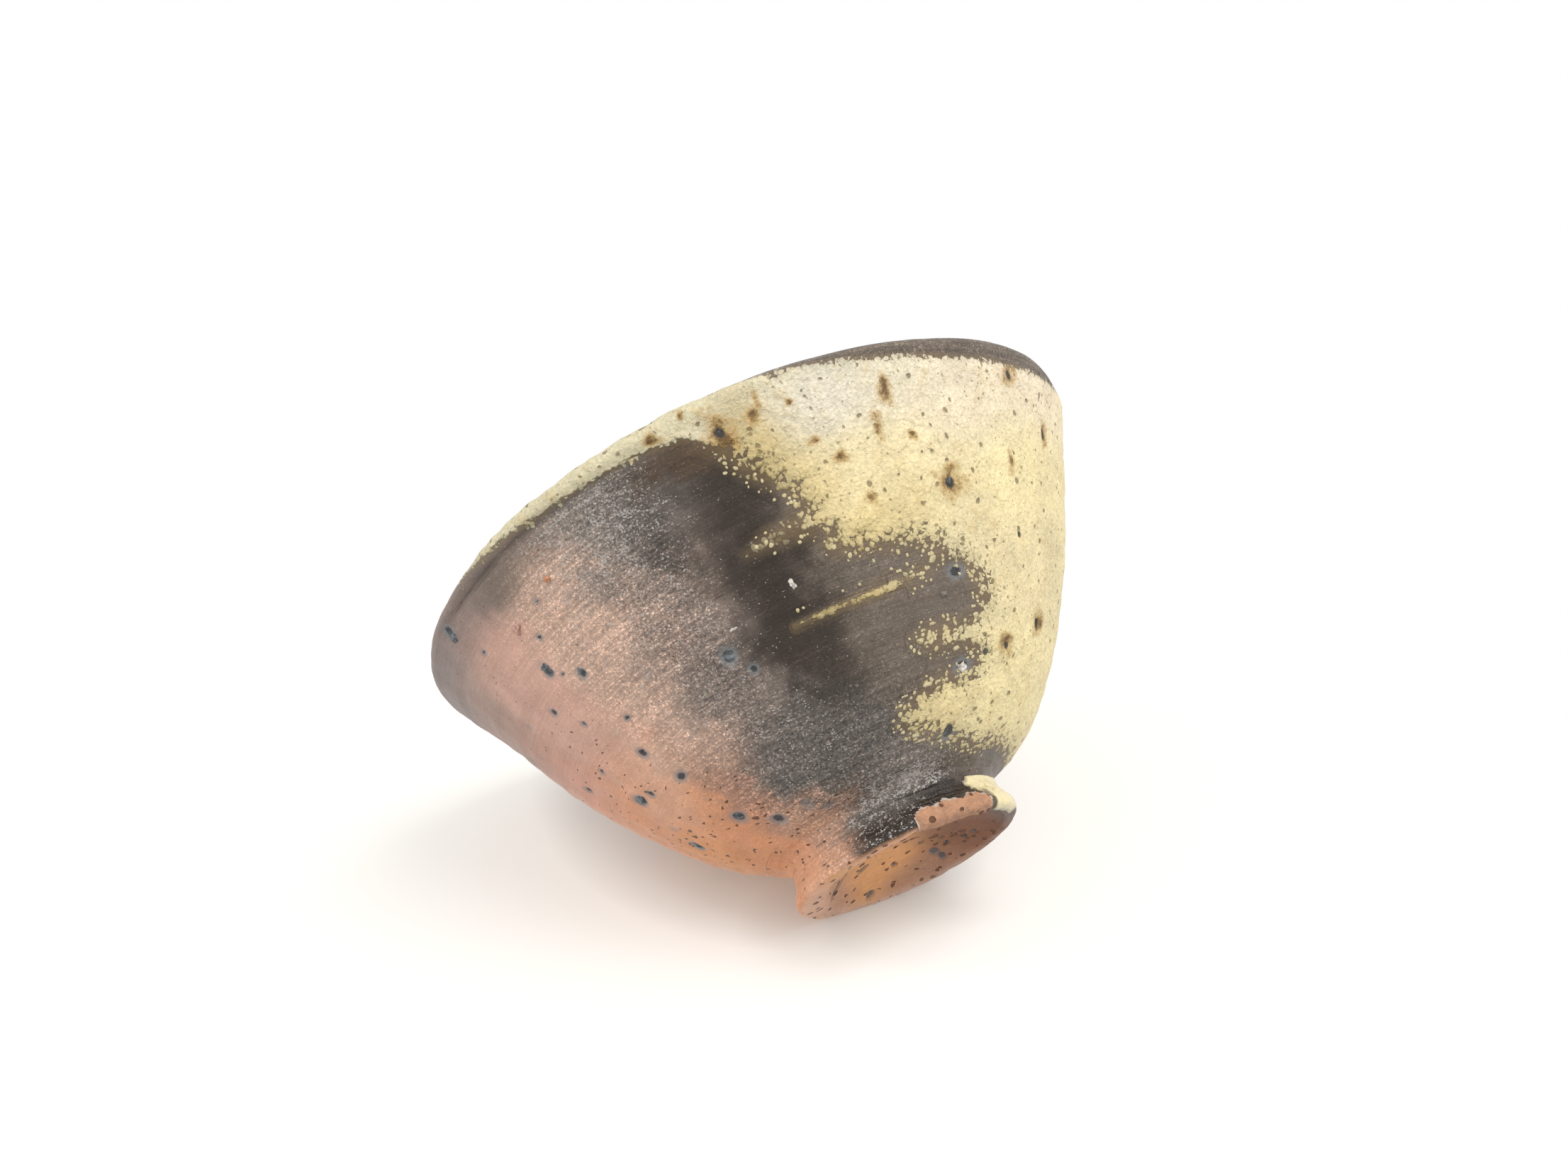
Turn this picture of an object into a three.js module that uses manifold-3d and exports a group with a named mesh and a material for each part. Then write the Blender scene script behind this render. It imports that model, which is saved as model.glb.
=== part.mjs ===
// A wood-fired stoneware tea bowl, standing on its foot. Millimetres, +Z up.
// The origin is the centre of the circle that the foot stands on.
// Angles go round the bowl in degrees: 0 faces -Y and 90 faces +X.
// Heights on the wall are shares of the bowl's height, so what lies on the wall follows it.

import * as THREE from 'three';
import { mergeVertices } from 'three/addons/utils/BufferGeometryUtils.js';
import Module from 'manifold-3d';

const wasm = await Module();
wasm.setup();

// Driving dimensions of the thrown bowl
const rimRadius = 56;
const bowlHeight = 60;
const lipThickness = 3;
const wallThickness = 4.2;
const floorThickness = 6;
const lipLean = 65;           // degrees from level, the wall's slope where it reaches the lip
const lipLineLength = 46;     // how far down from the lip the wall keeps close to that slope
const undersideHeight = 4.8;  // the lowest point of the bowl, hidden inside the foot
const undersideReach = 26.5;  // how far out from the axis the underside stays close to level

// Driving dimensions of the foot
const footLandRadius = 17.4;
const footFlareRadius = 18.8;
const footFlareHeight = 1.8;
const footNeckRadius = 17.5;
const footNeckHeight = 5.8;
const recessRadius = 14.4;    // at the land
const recessTopRadius = 12.6;
const recessOffset = 1.2;     // the recess sits off centre, so the foot is a crescent seen from below

// Luting slip between the foot and the belly
const slipDrop = 1.5;         // down the foot from the belly
const slipReach = 2.6;        // out along the belly from the foot
const slipHollow = 0.35;      // how far its face is drawn in

// Melted ash, and the scar of the wad that held the bowl up in the kiln
const ashThickness = 0.5;
const footRunThickness = 0.6;
const footRunLow = 1;
const footRunSpan = 34;       // degrees round the foot
const scarThickness = 0.5;
const scarLow = 0.8;
const scarTop = 3.2;
const scarStart = 12;         // degrees
const scarSpan = 40;          // degrees

// Clearances
const footGap = 0.3;          // foot under bowl
const slipGap = 0.3;          // slip to foot and belly
const skinGap = 0.2;          // ash and scar to the clay
const inclusionGap = 0.2;     // beads and stones in their pockets
const ashEdgeGap = 1.5;       // degrees between the coat and the band on the lip
const scarEdgeGap = 3;        // degrees between the scar and the run beside it

// Beads and stones
const inclusionSize = 2;      // diameter of a small one, the others are multiples of it
const inclusionSink = 0.35;   // share of its radius that a bead's centre lies below the clay's surface
const beadFlatness = 0.8;     // share of its diameter that a bead is high

// How far the bare wall's outline runs past the ash that it trims
const edgeMarginAngle = 10;   // degrees
const edgeMarginShare = 0.01; // of the bowl's height

// Facets
const wallSides = 64;
const footSides = 48;
const outerSteps = 16;
const innerSteps = 12;
const lipSteps = 6;
const footSteps = 7;
const coatColumns = 28;
const coatRows = 14;
const bandColumns = 12;
const bandRows = 2;
const footPatchColumns = 8;
const footPatchRows = 4;
const beadSides = 8;
const beadRings = 6;

// The coat's near edge, [share of height, angle], read up the wall from the foot to the lip
const coatNearEdge = [
  [0.145, 58], [0.160, 40], [0.177, 29], [0.200, 17], [0.233, 17], [0.267, 25], [0.293, 40], [0.317, 34],
  [0.350, 26], [0.392, 40], [0.433, 43], [0.467, 36], [0.480, 12], [0.497, 32], [0.517, 27], [0.550, 14],
  [0.600, 11], [0.642, 3], [0.667, 4], [0.692, 10], [0.750, 6], [0.833, 0], [0.900, -3], [0.945, -4],
];

// Its far edge, in the same way
const coatFarEdge = [
  [0.145, 112], [0.200, 124], [0.260, 118], [0.330, 131], [0.400, 126], [0.470, 139], [0.550, 133], [0.630, 146],
  [0.720, 141], [0.800, 152], [0.880, 149], [0.945, 157],
];

// The near edge of the band along the lip, in the same way
const lipBandEdge = [[0.926, -12], [0.944, -32], [0.962, -62]];

// Inclusions, [angle, share of height, multiple of the inclusions' size]
const ironBeads = [
  [3, 0.905, 1.5], [39, 0.662, 1.6], [-58, 0.933, 1.2], [-14, 0.488, 1.3], [34, 0.183, 1.5], [-75, 0.250, 1.4],
  [-62, 0.383, 1.7], [-47, 0.700, 1.3], [58, 0.545, 1.1], [46, 0.308, 1.1], [-45, 0.220, 1.3], [-41, 0.645, 1.1],
];
const feldsparStones = [
  [3.5, 0.558, 1.2], [-10.5, 0.530, 0.9], [42, 0.567, 0.9], [-33, 0.847, 0.9], [-45, 0.817, 1.3],
  [-24, 0.175, 1.2], [38, 0.288, 1.4], [34, 0.432, 1.2],
];

// Colours
const clayBrown = 0x8a6a58;
const clayOrange = 0xc98c5c;
const slipBrown = 0xa8714f;
const ashYellow = 0xe6d294;
const ashGreen = 0xc9c48a;
const scarPink = 0xd9a183;
const ironBlack = 0x3b3d42;
const feldsparWhite = 0xe9e2d6;

const radians = THREE.MathUtils.degToRad;

// The outside of the bowl as one curve of (radius, height), from the axis underneath to the edge of the lip.
const lipRadius = lipThickness / 2;
const lipSlope = new THREE.Vector2(Math.cos(radians(lipLean)), Math.sin(radians(lipLean)));
const lipEdge = new THREE.Vector2(
  rimRadius - lipRadius * (1 - lipSlope.y),
  bowlHeight - lipRadius * (1 + lipSlope.x),
);
const outside = new THREE.CubicBezierCurve(
  new THREE.Vector2(0, undersideHeight),
  new THREE.Vector2(undersideReach, undersideHeight),
  lipEdge.clone().addScaledVector(lipSlope, -lipLineLength),
  lipEdge,
);

// The side of the foot, from its land up to the underside of the bowl.
const bowlSkin = skinOf(outside, 400);
const footTop = heightAt(bowlSkin, footNeckRadius) - footGap;
const footSide = new THREE.SplineCurve([
  new THREE.Vector2(footLandRadius, 0),
  new THREE.Vector2(footFlareRadius, footFlareHeight),
  new THREE.Vector2(footNeckRadius, Math.min(footNeckHeight, footTop - slipGap)),
  new THREE.Vector2(footNeckRadius, footTop),
]);
const footSkin = skinOf(footSide, 100);

// Points of a profile curve with the normal that points away from the clay.
function skinOf(curve, steps) {
  return Array.from({ length: steps + 1 }, (_, i) => {
    const slope = curve.getTangent(i / steps);
    return { at: curve.getPoint(i / steps), out: new THREE.Vector2(slope.y, -slope.x) };
  });
}

// The two neighbouring points of a skin that a measure lies between.
function between(skin, measure, value) {
  const reached = skin.findIndex((s) => measure(s.at) >= value);
  const i = reached < 0 ? skin.length - 1 : Math.max(1, reached);
  return [skin[i - 1], skin[i]];
}

// The height of a skin at a radius, on the stretch where the radius grows.
function heightAt(skin, radius) {
  const [low, high] = between(skin, (at) => at.x, radius);
  return THREE.MathUtils.mapLinear(radius, low.at.x, high.at.x, low.at.y, high.at.y);
}

// The profile point at a height, moved off the surface by lift.
function profileAt(skin, height, lift) {
  const [low, high] = between(skin, (at) => at.y, height);
  const share = THREE.MathUtils.inverseLerp(low.at.y, high.at.y, height);
  const out = low.out.clone().lerp(high.out, share).normalize();
  return { at: low.at.clone().lerp(high.at, share).addScaledVector(out, lift), out };
}

// A profile point swung round the axis to an angle.
function swing(point, angle) {
  const a = radians(angle);
  return new THREE.Vector3(point.x * Math.sin(a), -point.x * Math.cos(a), point.y);
}

function lathe(profile, sides) {
  return new THREE.LatheGeometry(profile, sides).rotateX(Math.PI / 2);
}

function solidOf(geometry) {
  const bare = new THREE.BufferGeometry();
  bare.setAttribute('position', geometry.getAttribute('position'));
  if (geometry.index) bare.setIndex(geometry.index);
  const merged = mergeVertices(bare);
  const corners = merged.index.array;
  const kept = [];
  for (let i = 0; i < corners.length; i += 3) {
    const [a, b, c] = corners.slice(i, i + 3);
    if (a !== b && b !== c && c !== a) kept.push(a, b, c);
  }
  return new wasm.Manifold(new wasm.Mesh({
    numProp: 3,
    vertProperties: new Float32Array(merged.getAttribute('position').array),
    triVerts: new Uint32Array(kept),
  }));
}

function geometryOf(solid) {
  const mesh = solid.getMesh();
  const geometry = new THREE.BufferGeometry();
  geometry.setAttribute('position', new THREE.BufferAttribute(mesh.vertProperties, 3));
  geometry.setIndex(new THREE.BufferAttribute(mesh.triVerts, 1));
  geometry.computeVertexNormals();
  return geometry;
}

// A thin closed patch on a skin. Each row has a height and the angles where it starts and ends.
function patch(skin, rows, columns, gap, thickness) {
  const places = [];
  for (const lift of [gap, gap + thickness]) {
    for (const row of rows) {
      const { at } = profileAt(skin, row.height, lift);
      for (let j = 0; j <= columns; j += 1) {
        places.push(...swing(at, THREE.MathUtils.lerp(row.start, row.end, j / columns)));
      }
    }
  }
  const across = columns + 1;
  const outer = rows.length * across;
  const faces = [];
  const quad = (a, b, c, d) => faces.push(a, b, c, a, c, d);
  for (let i = 0; i + 1 < rows.length; i += 1) {
    for (let j = 0; j < columns; j += 1) {
      const k = i * across + j;
      quad(outer + k, outer + k + 1, outer + k + across + 1, outer + k + across);
      quad(k, k + across, k + across + 1, k + 1);
    }
    const [start, end] = [i * across, i * across + columns];
    quad(start, outer + start, outer + start + across, start + across);
    quad(end, end + across, outer + end + across, outer + end);
  }
  for (let j = 0; j < columns; j += 1) {
    const top = (rows.length - 1) * across + j;
    quad(j, j + 1, outer + j + 1, outer + j);
    quad(top, outer + top, outer + top + 1, top + 1);
  }
  const geometry = new THREE.BufferGeometry();
  geometry.setAttribute('position', new THREE.Float32BufferAttribute(places, 3));
  geometry.setIndex(faces);
  geometry.computeVertexNormals();
  return geometry;
}

function finish(color, roughness, metalness = 0) {
  return new THREE.MeshStandardMaterial({ color, roughness, metalness });
}

const bowl = new THREE.Group();

function add(name, geometry, material) {
  const mesh = new THREE.Mesh(geometry, material);
  mesh.name = name;
  bowl.add(mesh);
  return mesh;
}

// Iron beads and feldspar stones, each seated in a pocket of its own
const pockets = [];

function addInclusion(name, [angle, share, multiple], shape, material) {
  const radius = (multiple * inclusionSize) / 2;
  const { at, out } = profileAt(bowlSkin, share * bowlHeight, -inclusionSink * radius);
  const normal = swing(out, angle);
  const mesh = add(name, shape(radius), material);
  mesh.position.copy(swing(at, angle));
  mesh.quaternion.setFromUnitVectors(new THREE.Vector3(0, 1, 0), normal);
  mesh.updateMatrix();
  pockets.push(solidOf(shape(radius + inclusionGap).applyMatrix4(mesh.matrix)));
}

function beadShape(radius) {
  return new THREE.SphereGeometry(radius, beadSides, beadRings).scale(1, beadFlatness, 1);
}

function stoneShape(radius) {
  return new THREE.DodecahedronGeometry(radius);
}

function numbered(name, i) {
  return `${name}_${String(i + 1).padStart(2, '0')}`;
}

ironBeads.forEach((bead, i) => {
  addInclusion(numbered('iron_bead', i), bead, beadShape, finish(ironBlack, 0.35, 0.4));
});
feldsparStones.forEach((stone, i) => {
  addInclusion(numbered('feldspar_stone', i), stone, stoneShape, finish(feldsparWhite, 0.5));
});

function withPockets(whole) {
  return geometryOf(pockets.reduce((solid, pocket) => solid.subtract(pocket), whole));
}

// The thrown bowl: underside and wall, round lip, inside and floor
function bowlProfile() {
  const profile = outside.getSpacedPoints(outerSteps);
  const inward = new THREE.Vector2(-lipSlope.y, lipSlope.x);
  const lipCentre = lipEdge.clone().addScaledVector(inward, lipRadius);
  for (let i = 1; i < lipSteps; i += 1) {
    const turn = radians(lipLean - 90 + (180 * i) / lipSteps);
    profile.push(new THREE.Vector2(
      lipCentre.x + lipRadius * Math.cos(turn),
      lipCentre.y + lipRadius * Math.sin(turn),
    ));
  }
  for (let i = innerSteps; i >= 0; i -= 1) {
    const share = i / innerSteps;
    const slope = outside.getTangentAt(share);
    const base = THREE.MathUtils.lerp(floorThickness, wallThickness, THREE.MathUtils.smoothstep(share, 0, 0.5));
    const depth = THREE.MathUtils.lerp(base, lipThickness, THREE.MathUtils.smoothstep(share, 0.6, 1));
    const at = outside.getPointAt(share);
    profile.push(new THREE.Vector2(Math.max(0, at.x - slope.y * depth), at.y + slope.x * depth));
  }
  return profile;
}

add('bowl_wall', withPockets(solidOf(lathe(bowlProfile(), wallSides))), finish(clayBrown, 0.7));

// The foot: a turned block under the bowl with a recess cut through it, off centre
function footBlock() {
  const rim = footSide.getSpacedPoints(footSteps);
  const top = [];
  for (let i = 1; i <= 3; i += 1) {
    const radius = footNeckRadius * (1 - i / 3);
    top.push(new THREE.Vector2(radius, heightAt(bowlSkin, radius) - footGap));
  }
  return lathe([new THREE.Vector2(0, 0), ...rim, ...top], footSides);
}

function recessCut() {
  const flare = (recessRadius - recessTopRadius) / footTop;
  const cut = lathe([
    new THREE.Vector2(0, -footTop),
    new THREE.Vector2(recessRadius + flare * footTop, -footTop),
    new THREE.Vector2(recessTopRadius - flare * footTop, 2 * footTop),
    new THREE.Vector2(0, 2 * footTop),
  ], footSides);
  return cut.translate(recessOffset, 0, 0);
}

add('foot_ring', geometryOf(solidOf(footBlock()).subtract(solidOf(recessCut()))), finish(clayOrange, 0.75));

// The slip: against the foot's side inside, under the belly above, and slightly hollow on its face
function slipProfile() {
  const innerRadius = footNeckRadius + slipGap;
  const outerRadius = innerRadius + slipReach;
  const under = (radius) => new THREE.Vector2(radius, heightAt(bowlSkin, radius) - slipGap * Math.SQRT2);
  const toe = profileAt(footSkin, under(innerRadius).y - slipDrop, slipGap).at;
  const tip = under(outerRadius);
  const face = toe.clone().lerp(tip, 0.5);
  const drawIn = new THREE.Vector2(toe.y - tip.y, tip.x - toe.x).normalize();
  face.addScaledVector(drawIn, slipHollow);
  return [toe, face, tip, under((innerRadius + outerRadius) / 2), under(innerRadius), toe.clone()];
}

const slip = slipProfile();
add('luting_slip', lathe(slip, footSides), finish(slipBrown, 0.65));

// Ash on the wall: a patch between two heights, with the wall left bare past its uneven edges
function bareSector(edge, beyond) {
  const bottom = edge[0][0] - edgeMarginShare;
  const top = edge.at(-1)[0] + edgeMarginShare;
  const outline = [[bottom, edge[0][1]], ...edge, [top, edge.at(-1)[1]], [top, beyond], [bottom, beyond]];
  const chart = outline.map(([share, angle]) => new THREE.Vector2(angle, share * bowlHeight));
  if (THREE.ShapeUtils.isClockWise(chart)) chart.reverse();
  const count = chart.length;
  const layers = [
    () => lipThickness,
    (height) => profileAt(bowlSkin, height, 0).at.x - wallThickness / 2,
    (height) => profileAt(bowlSkin, height, 0).at.x + wallThickness / 2,
    () => 3 * rimRadius,
  ];
  const places = [];
  for (const radius of layers) {
    chart.forEach((c) => places.push(...swing(new THREE.Vector2(radius(c.y), c.y), c.x)));
  }
  const faces = [];
  const last = (layers.length - 1) * count;
  for (const [a, b, c] of THREE.ShapeUtils.triangulateShape(chart, [])) {
    faces.push(a + last, b + last, c + last, c, b, a);
  }
  for (let base = 0; base < last; base += count) {
    for (let i = 0; i < count; i += 1) {
      const [a, b] = [base + i, base + ((i + 1) % count)];
      faces.push(b + count, a + count, a, b + count, a, b);
    }
  }
  const geometry = new THREE.BufferGeometry();
  geometry.setAttribute('position', new THREE.Float32BufferAttribute(places, 3));
  geometry.setIndex(faces);
  return solidOf(geometry);
}

function ashPatch(nearEdge, farEdge, steps, columns) {
  const start = Math.min(...nearEdge.map(([, angle]) => angle));
  const end = Math.max(...farEdge.map(([, angle]) => angle));
  const rows = Array.from({ length: steps + 1 }, (_, i) => {
    const share = THREE.MathUtils.lerp(nearEdge[0][0], nearEdge.at(-1)[0], i / steps);
    return { height: share * bowlHeight, start, end };
  });
  const sheet = solidOf(patch(bowlSkin, rows, columns, skinGap, ashThickness));
  const trimmed = sheet.subtract(bareSector(nearEdge, start - edgeMarginAngle));
  return withPockets(trimmed.subtract(bareSector(farEdge, end + edgeMarginAngle)));
}

add('ash_coat', ashPatch(coatNearEdge, coatFarEdge, coatRows, coatColumns), finish(ashYellow, 0.6));

const bandEnd = Math.min(...coatNearEdge.map(([, angle]) => angle)) - ashEdgeGap;
const bandFarEdge = lipBandEdge.map(([share]) => [share, bandEnd]);
add('lip_ash_band', ashPatch(lipBandEdge, bandFarEdge, bandRows, bandColumns), finish(ashYellow, 0.6));

// The wad's scar low on the foot, and the run of ash beside it, which stops short of the slip
function footPatch(low, high, start, span, thickness) {
  const rows = Array.from({ length: footPatchRows + 1 }, (_, i) => ({
    height: THREE.MathUtils.lerp(low, high, i / footPatchRows),
    start,
    end: start + span,
  }));
  return patch(footSkin, rows, footPatchColumns, skinGap, thickness);
}

const scar = footPatch(scarLow, scarTop, scarStart, scarSpan, scarThickness);
add('wad_scar', scar, finish(scarPink, 0.9));

const runTop = slip[0].y - slipGap - footRunThickness;
const runStart = scarStart + scarSpan + scarEdgeGap;
const run = footPatch(footRunLow, runTop, runStart, footRunSpan, footRunThickness);
add('foot_ash_run', run, finish(ashGreen, 0.3));

export default bowl;
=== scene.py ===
"""Looks of a wood-fired tea bowl: thrown clay, natural ash, iron beads and the marks of the kiln.

Angles go round the bowl in degrees: 0 faces -Y and 90 faces +X. Tables are in degrees and millimetres.
"""
import math
import random
from types import SimpleNamespace

import bpy
import numpy as np
from bpy.props import FloatProperty, FloatVectorProperty, IntProperty, PointerProperty
from mathutils import Matrix, Vector, noise


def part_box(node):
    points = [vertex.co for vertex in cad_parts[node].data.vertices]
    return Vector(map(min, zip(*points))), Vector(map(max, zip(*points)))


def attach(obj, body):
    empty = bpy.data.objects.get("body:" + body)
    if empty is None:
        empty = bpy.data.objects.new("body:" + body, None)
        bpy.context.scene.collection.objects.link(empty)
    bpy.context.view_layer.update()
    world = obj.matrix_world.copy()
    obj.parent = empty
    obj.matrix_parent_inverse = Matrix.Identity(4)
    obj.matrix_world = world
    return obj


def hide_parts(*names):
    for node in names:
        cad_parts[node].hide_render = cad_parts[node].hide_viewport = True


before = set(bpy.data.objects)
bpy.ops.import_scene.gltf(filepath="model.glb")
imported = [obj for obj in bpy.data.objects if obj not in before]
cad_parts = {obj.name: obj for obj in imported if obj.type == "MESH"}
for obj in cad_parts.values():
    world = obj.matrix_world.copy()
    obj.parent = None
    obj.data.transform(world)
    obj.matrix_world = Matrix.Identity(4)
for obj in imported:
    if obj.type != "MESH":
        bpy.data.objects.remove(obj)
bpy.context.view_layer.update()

bl_info = {
    "name": "Wood-fired tea bowl",
    "version": (1, 0, 0),
    "blender": (4, 5, 0),
    "location": "View3D > Sidebar > Tea bowl",
    "description": "Models the clay, the ash and the kiln marks of a tea bowl on its packed frame",
    "category": "Object",
}

MM = 0.001
WALL_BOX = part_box("bowl_wall")

# Steps between the points of the turned outlines, finest where the ash breaks up
HIDDEN_STEP = 5
WALL_STEP = 0.62
INSIDE_STEP = 3
FOOT_STEP = 0.3

# Values that lie far outside an outline or a spot
FAR = -9.0
NO_SPOT = -2.0

# Soft patches of colour that the flame left on the outside: tone, angle, height, reach round, reach up
OUTSIDE_TONES = [
    ("slate", -74, 56, 13, 4), ("slate", -54, 55, 9, 3.5), ("mauve", -74, 45, 13, 7),
    ("blush", -55, 46, 9, 7), ("rose", -74, 34, 13, 7), ("blush", -55, 33, 9, 7),
    ("salmon", -74, 23, 14, 6), ("peach", -55, 22, 9, 6), ("orange", -74, 11, 16, 6),
    ("salmon", -52, 12, 9, 5), ("bark", -42, 55, 10, 2.4), ("umber", -34, 46, 9, 7),
    ("umber", -34, 34, 9, 7), ("umber", -34, 24, 8, 5), ("flint", -19, 51, 9, 6), ("taupe", -19, 40, 9, 7),
    ("smoke", -20, 27, 9, 7), ("soot", -5.5, 46, 8, 7), ("dusk", -10, 45, 4, 6),
    ("charcoal", -12, 50, 5, 5), ("sepia", -4, 53.6, 6, 2.4), ("soot", -2, 34, 8, 7),
    ("dusk", 4, 24.5, 7, 5), ("bark", 24, 25, 10, 4), ("bark", 30, 18.5, 8, 2), ("charcoal", -8, 14, 16, 5),
    ("rust", -38, 17, 7, 6), ("bronze", -27, 8.8, 14, 1.5), ("flint", 20, 9.2, 14, 1.6),
    ("bark", 60, 8.4, 25, 1.4), ("bark", 25, 35, 12, 9), ("bark", 45, 45, 25, 12), ("bark", 80, 30, 30, 20),
    ("bark", 45, 58.8, 32, 1.6), ("smoke", -24, 57.2, 9, 0.9), ("smoke", -44, 57.9, 12, 1.4),
    ("salmon", -80, 4, 24, 4), ("peach", -54, 4, 12, 3.6), ("bronze", -30, 5, 9, 2.6),
    ("charcoal", -4, 5.4, 16, 1.6), ("soot", 2, 3.0, 16, 2.2), ("soot", 38, 5.2, 16, 2),
    ("bark", 85, 3, 25, 3.6), ("taupe", 150, 45, 14, 12), ("soot", 168, 50, 12, 8),
    ("bark", 150, 26, 14, 10), ("smoke", 176, 34, 14, 8), ("umber", -166, 46, 12, 10),
    ("rust", 160, 13, 20, 6), ("charcoal", -176, 20, 16, 6), ("slate", -150, 56, 20, 4),
    ("mauve", -122, 51, 16, 7), ("rose", -140, 38, 14, 9), ("blush", -112, 36, 14, 9),
    ("salmon", -118, 22, 16, 8), ("umber", -150, 22, 14, 8), ("orange", -120, 9, 26, 6),
    ("rust", -160, 9, 18, 6), ("orange", -130, 3, 40, 4), ("rust", 150, 3, 40, 4),
]

# The same on the inside
INSIDE_TONES = [
    ("taupe", 90, 52, 40, 8), ("umber", 90, 34, 40, 10), ("taupe", 20, 42, 30, 12),
    ("umber", -40, 50, 30, 8), ("umber", -90, 34, 40, 10), ("smoke", -100, 55, 40, 5),
    ("taupe", 160, 40, 30, 12), ("flint", 0, 12, 60, 6), ("taupe", 180, 14, 60, 6), ("bark", 60, 57, 60, 2),
]

# The same on the ash
ASH_TONES = [
    ("cream", 34, 53.5, 24, 4), ("pearl", 20, 53.6, 8, 3.6), ("gold", 8, 50.5, 5, 4),
    ("gold", 13, 43.5, 4, 4), ("gold", 20, 36.5, 7, 2.2), ("ivory", 46, 50, 10, 5),
    ("ivory", 62, 53, 20, 5), ("straw", 25, 45, 12, 4), ("butter", 62, 43, 20, 7), ("straw", 62, 30, 20, 8),
    ("butter", 62, 14, 22, 7), ("mustard", 24, 37, 10, 5), ("ochre", 7, 50, 3, 6),
    ("ochre", 10, 28.5, 12, 1.2), ("dun", 3, 39.3, 5, 1.6), ("lichen", -28, 58.6, 24, 2),
    ("mustard", 28, 14, 9, 6), ("butter", 110, 40, 24, 22), ("mustard", 140, 40, 14, 22),
    ("lichen", -90, 40, 90, 40),
]

# How much of the clay's grit shows: strength, angle, height, reach round, reach up
GRIT = [
    (0.06, -78, 40, 22, 30), (0.15, -52, 40, 8, 30), (0.1, -48, 55.5, 14, 2.5), (0.55, -35, 42, 9, 20),
    (1.0, -20, 44, 8, 16), (0.25, -4, 40, 6, 18), (0.45, 8, 25, 10, 8), (0.3, 28, 25, 10, 5),
    (1.0, -8, 14, 18, 6), (0.1, -60, 12, 12, 8), (0.7, 40, 58.6, 40, 2), (0.2, -70, 4, 24, 4),
    (0.55, 0, 4, 26, 3.6), (0.5, -30, 5, 8, 3), (0.4, 70, 5, 20, 5), (0.9, 170, 40, 24, 18),
    (0.2, -130, 34, 26, 30),
]

# How glassy it is, in the same way
GLOSS = [
    (0.3, -70, 40, 30, 30), (0.8, -20, 40, 18, 20), (0.4, 20, 25, 16, 10), (0.8, -8, 14, 18, 6),
    (1.0, 15, 5.5, 26, 3), (0.6, -30, 5, 8, 3), (0.15, -75, 5, 24, 8), (0.5, 60, 8, 20, 2),
    (0.3, 170, 30, 60, 30),
]

# How many pits it has, in the same way
PITS = [
    (0.4, -74, 46, 20, 12), (0.8, -70, 26, 20, 8), (1.35, -62, 12, 18, 5), (0.3, -20, 40, 20, 20),
    (0.7, -10, 12, 18, 5), (0.1, 25, 30, 14, 20), (0.8, -60, 4, 30, 4), (0.5, 10, 4, 30, 3),
    (0.5, 180, 30, 80, 40),
]

# How much painted glint of silver its grains get, in the same way: painted highlights where light catches
# glassy grains, strongest along the crease above the foot
PAINTED_GLINT_SHARES = [
    (0.0, -75, 40, 25, 40), (0.8, -22, 49, 10, 7), (0.5, -22, 36, 14, 10), (0.5, -8, 14, 16, 5),
    (0.0, 0, 40, 8, 12), (0.1, 20, 25, 14, 8), (1.1, 22, 7.6, 20, 1.0), (0.7, -2, 3.2, 14, 2.2),
    (0.95, -10, 6.0, 12, 1.2), (0.5, -28, 5, 9, 3), (0.0, -70, 6, 20, 6), (0.0, 80, 20, 30, 30),
    (0.3, 170, 48, 20, 10), (0.0, -140, 30, 40, 40),
]

# The ash that the flame laid on the wall, as an outline of angle and height
ASH_OUTLINE = [
    (112, 8.7), (90, 8.6), (70, 8.7), (58, 8.8), (50, 8.9), (44, 9.2), (39, 9.7), (34, 10.0), (29, 10.5),
    (25, 11.0), (21, 11.6), (17.5, 12.3), (15.5, 13.0), (16.5, 14.0), (19, 14.8), (23, 15.6), (27, 16.4),
    (32, 16.9), (37, 16.5), (42, 17.0), (43.5, 18.2), (40, 19.2), (34, 19.7), (28, 20.3), (25, 21.2),
    (25, 22.0), (29, 22.4), (34, 22.3), (39, 22.5), (43, 23.2), (45, 24.4), (43, 25.6), (45, 26.6),
    (42, 27.8), (40, 29.2), (36, 30.4), (32, 30.4), (26, 29.6), (20, 29.2), (10, 29.1), (0, 28.8),
    (0, 28.2), (10, 27.9), (20, 27.9), (26, 28.3), (31, 29.4), (33, 31.6), (29, 32.9), (24, 33.2),
    (19, 33.8), (15, 34.4), (12.5, 35.4), (11.5, 36.6), (12.5, 37.6), (9, 38.2), (4, 38.7), (-1, 39.1),
    (2, 40.0), (7, 40.6), (10, 41.3), (9.5, 42.6), (9, 44.0), (7, 45.6), (5.5, 47.0), (4, 48.6), (3, 50.2),
    (2, 51.6), (1, 53.0), (-1, 54.8), (-4, 55.8), (-10, 56.5), (-15, 56.6), (-20, 56.9), (-26, 57.4),
    (-32, 57.9), (-40, 58.5), (-52, 59.4), (-40, 60), (-6, 60), (3, 59.8), (10, 59.4), (17, 58.8),
    (24, 58.0), (31, 57.2), (40, 56.6), (50, 56.2), (60, 56.2), (70, 56.6), (78, 57.4), (85, 58.8),
    (91, 60), (120, 60), (157, 60), (157, 56.7), (149, 52.8), (152, 48), (141, 43.2), (146, 37.8),
    (133, 33), (139, 28.2), (126, 24), (131, 19.8), (118, 15.6), (124, 12),
]
MM_PER_DEGREE = 0.75
BAND_END = -5
EDGE_BEADS = 260

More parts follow.
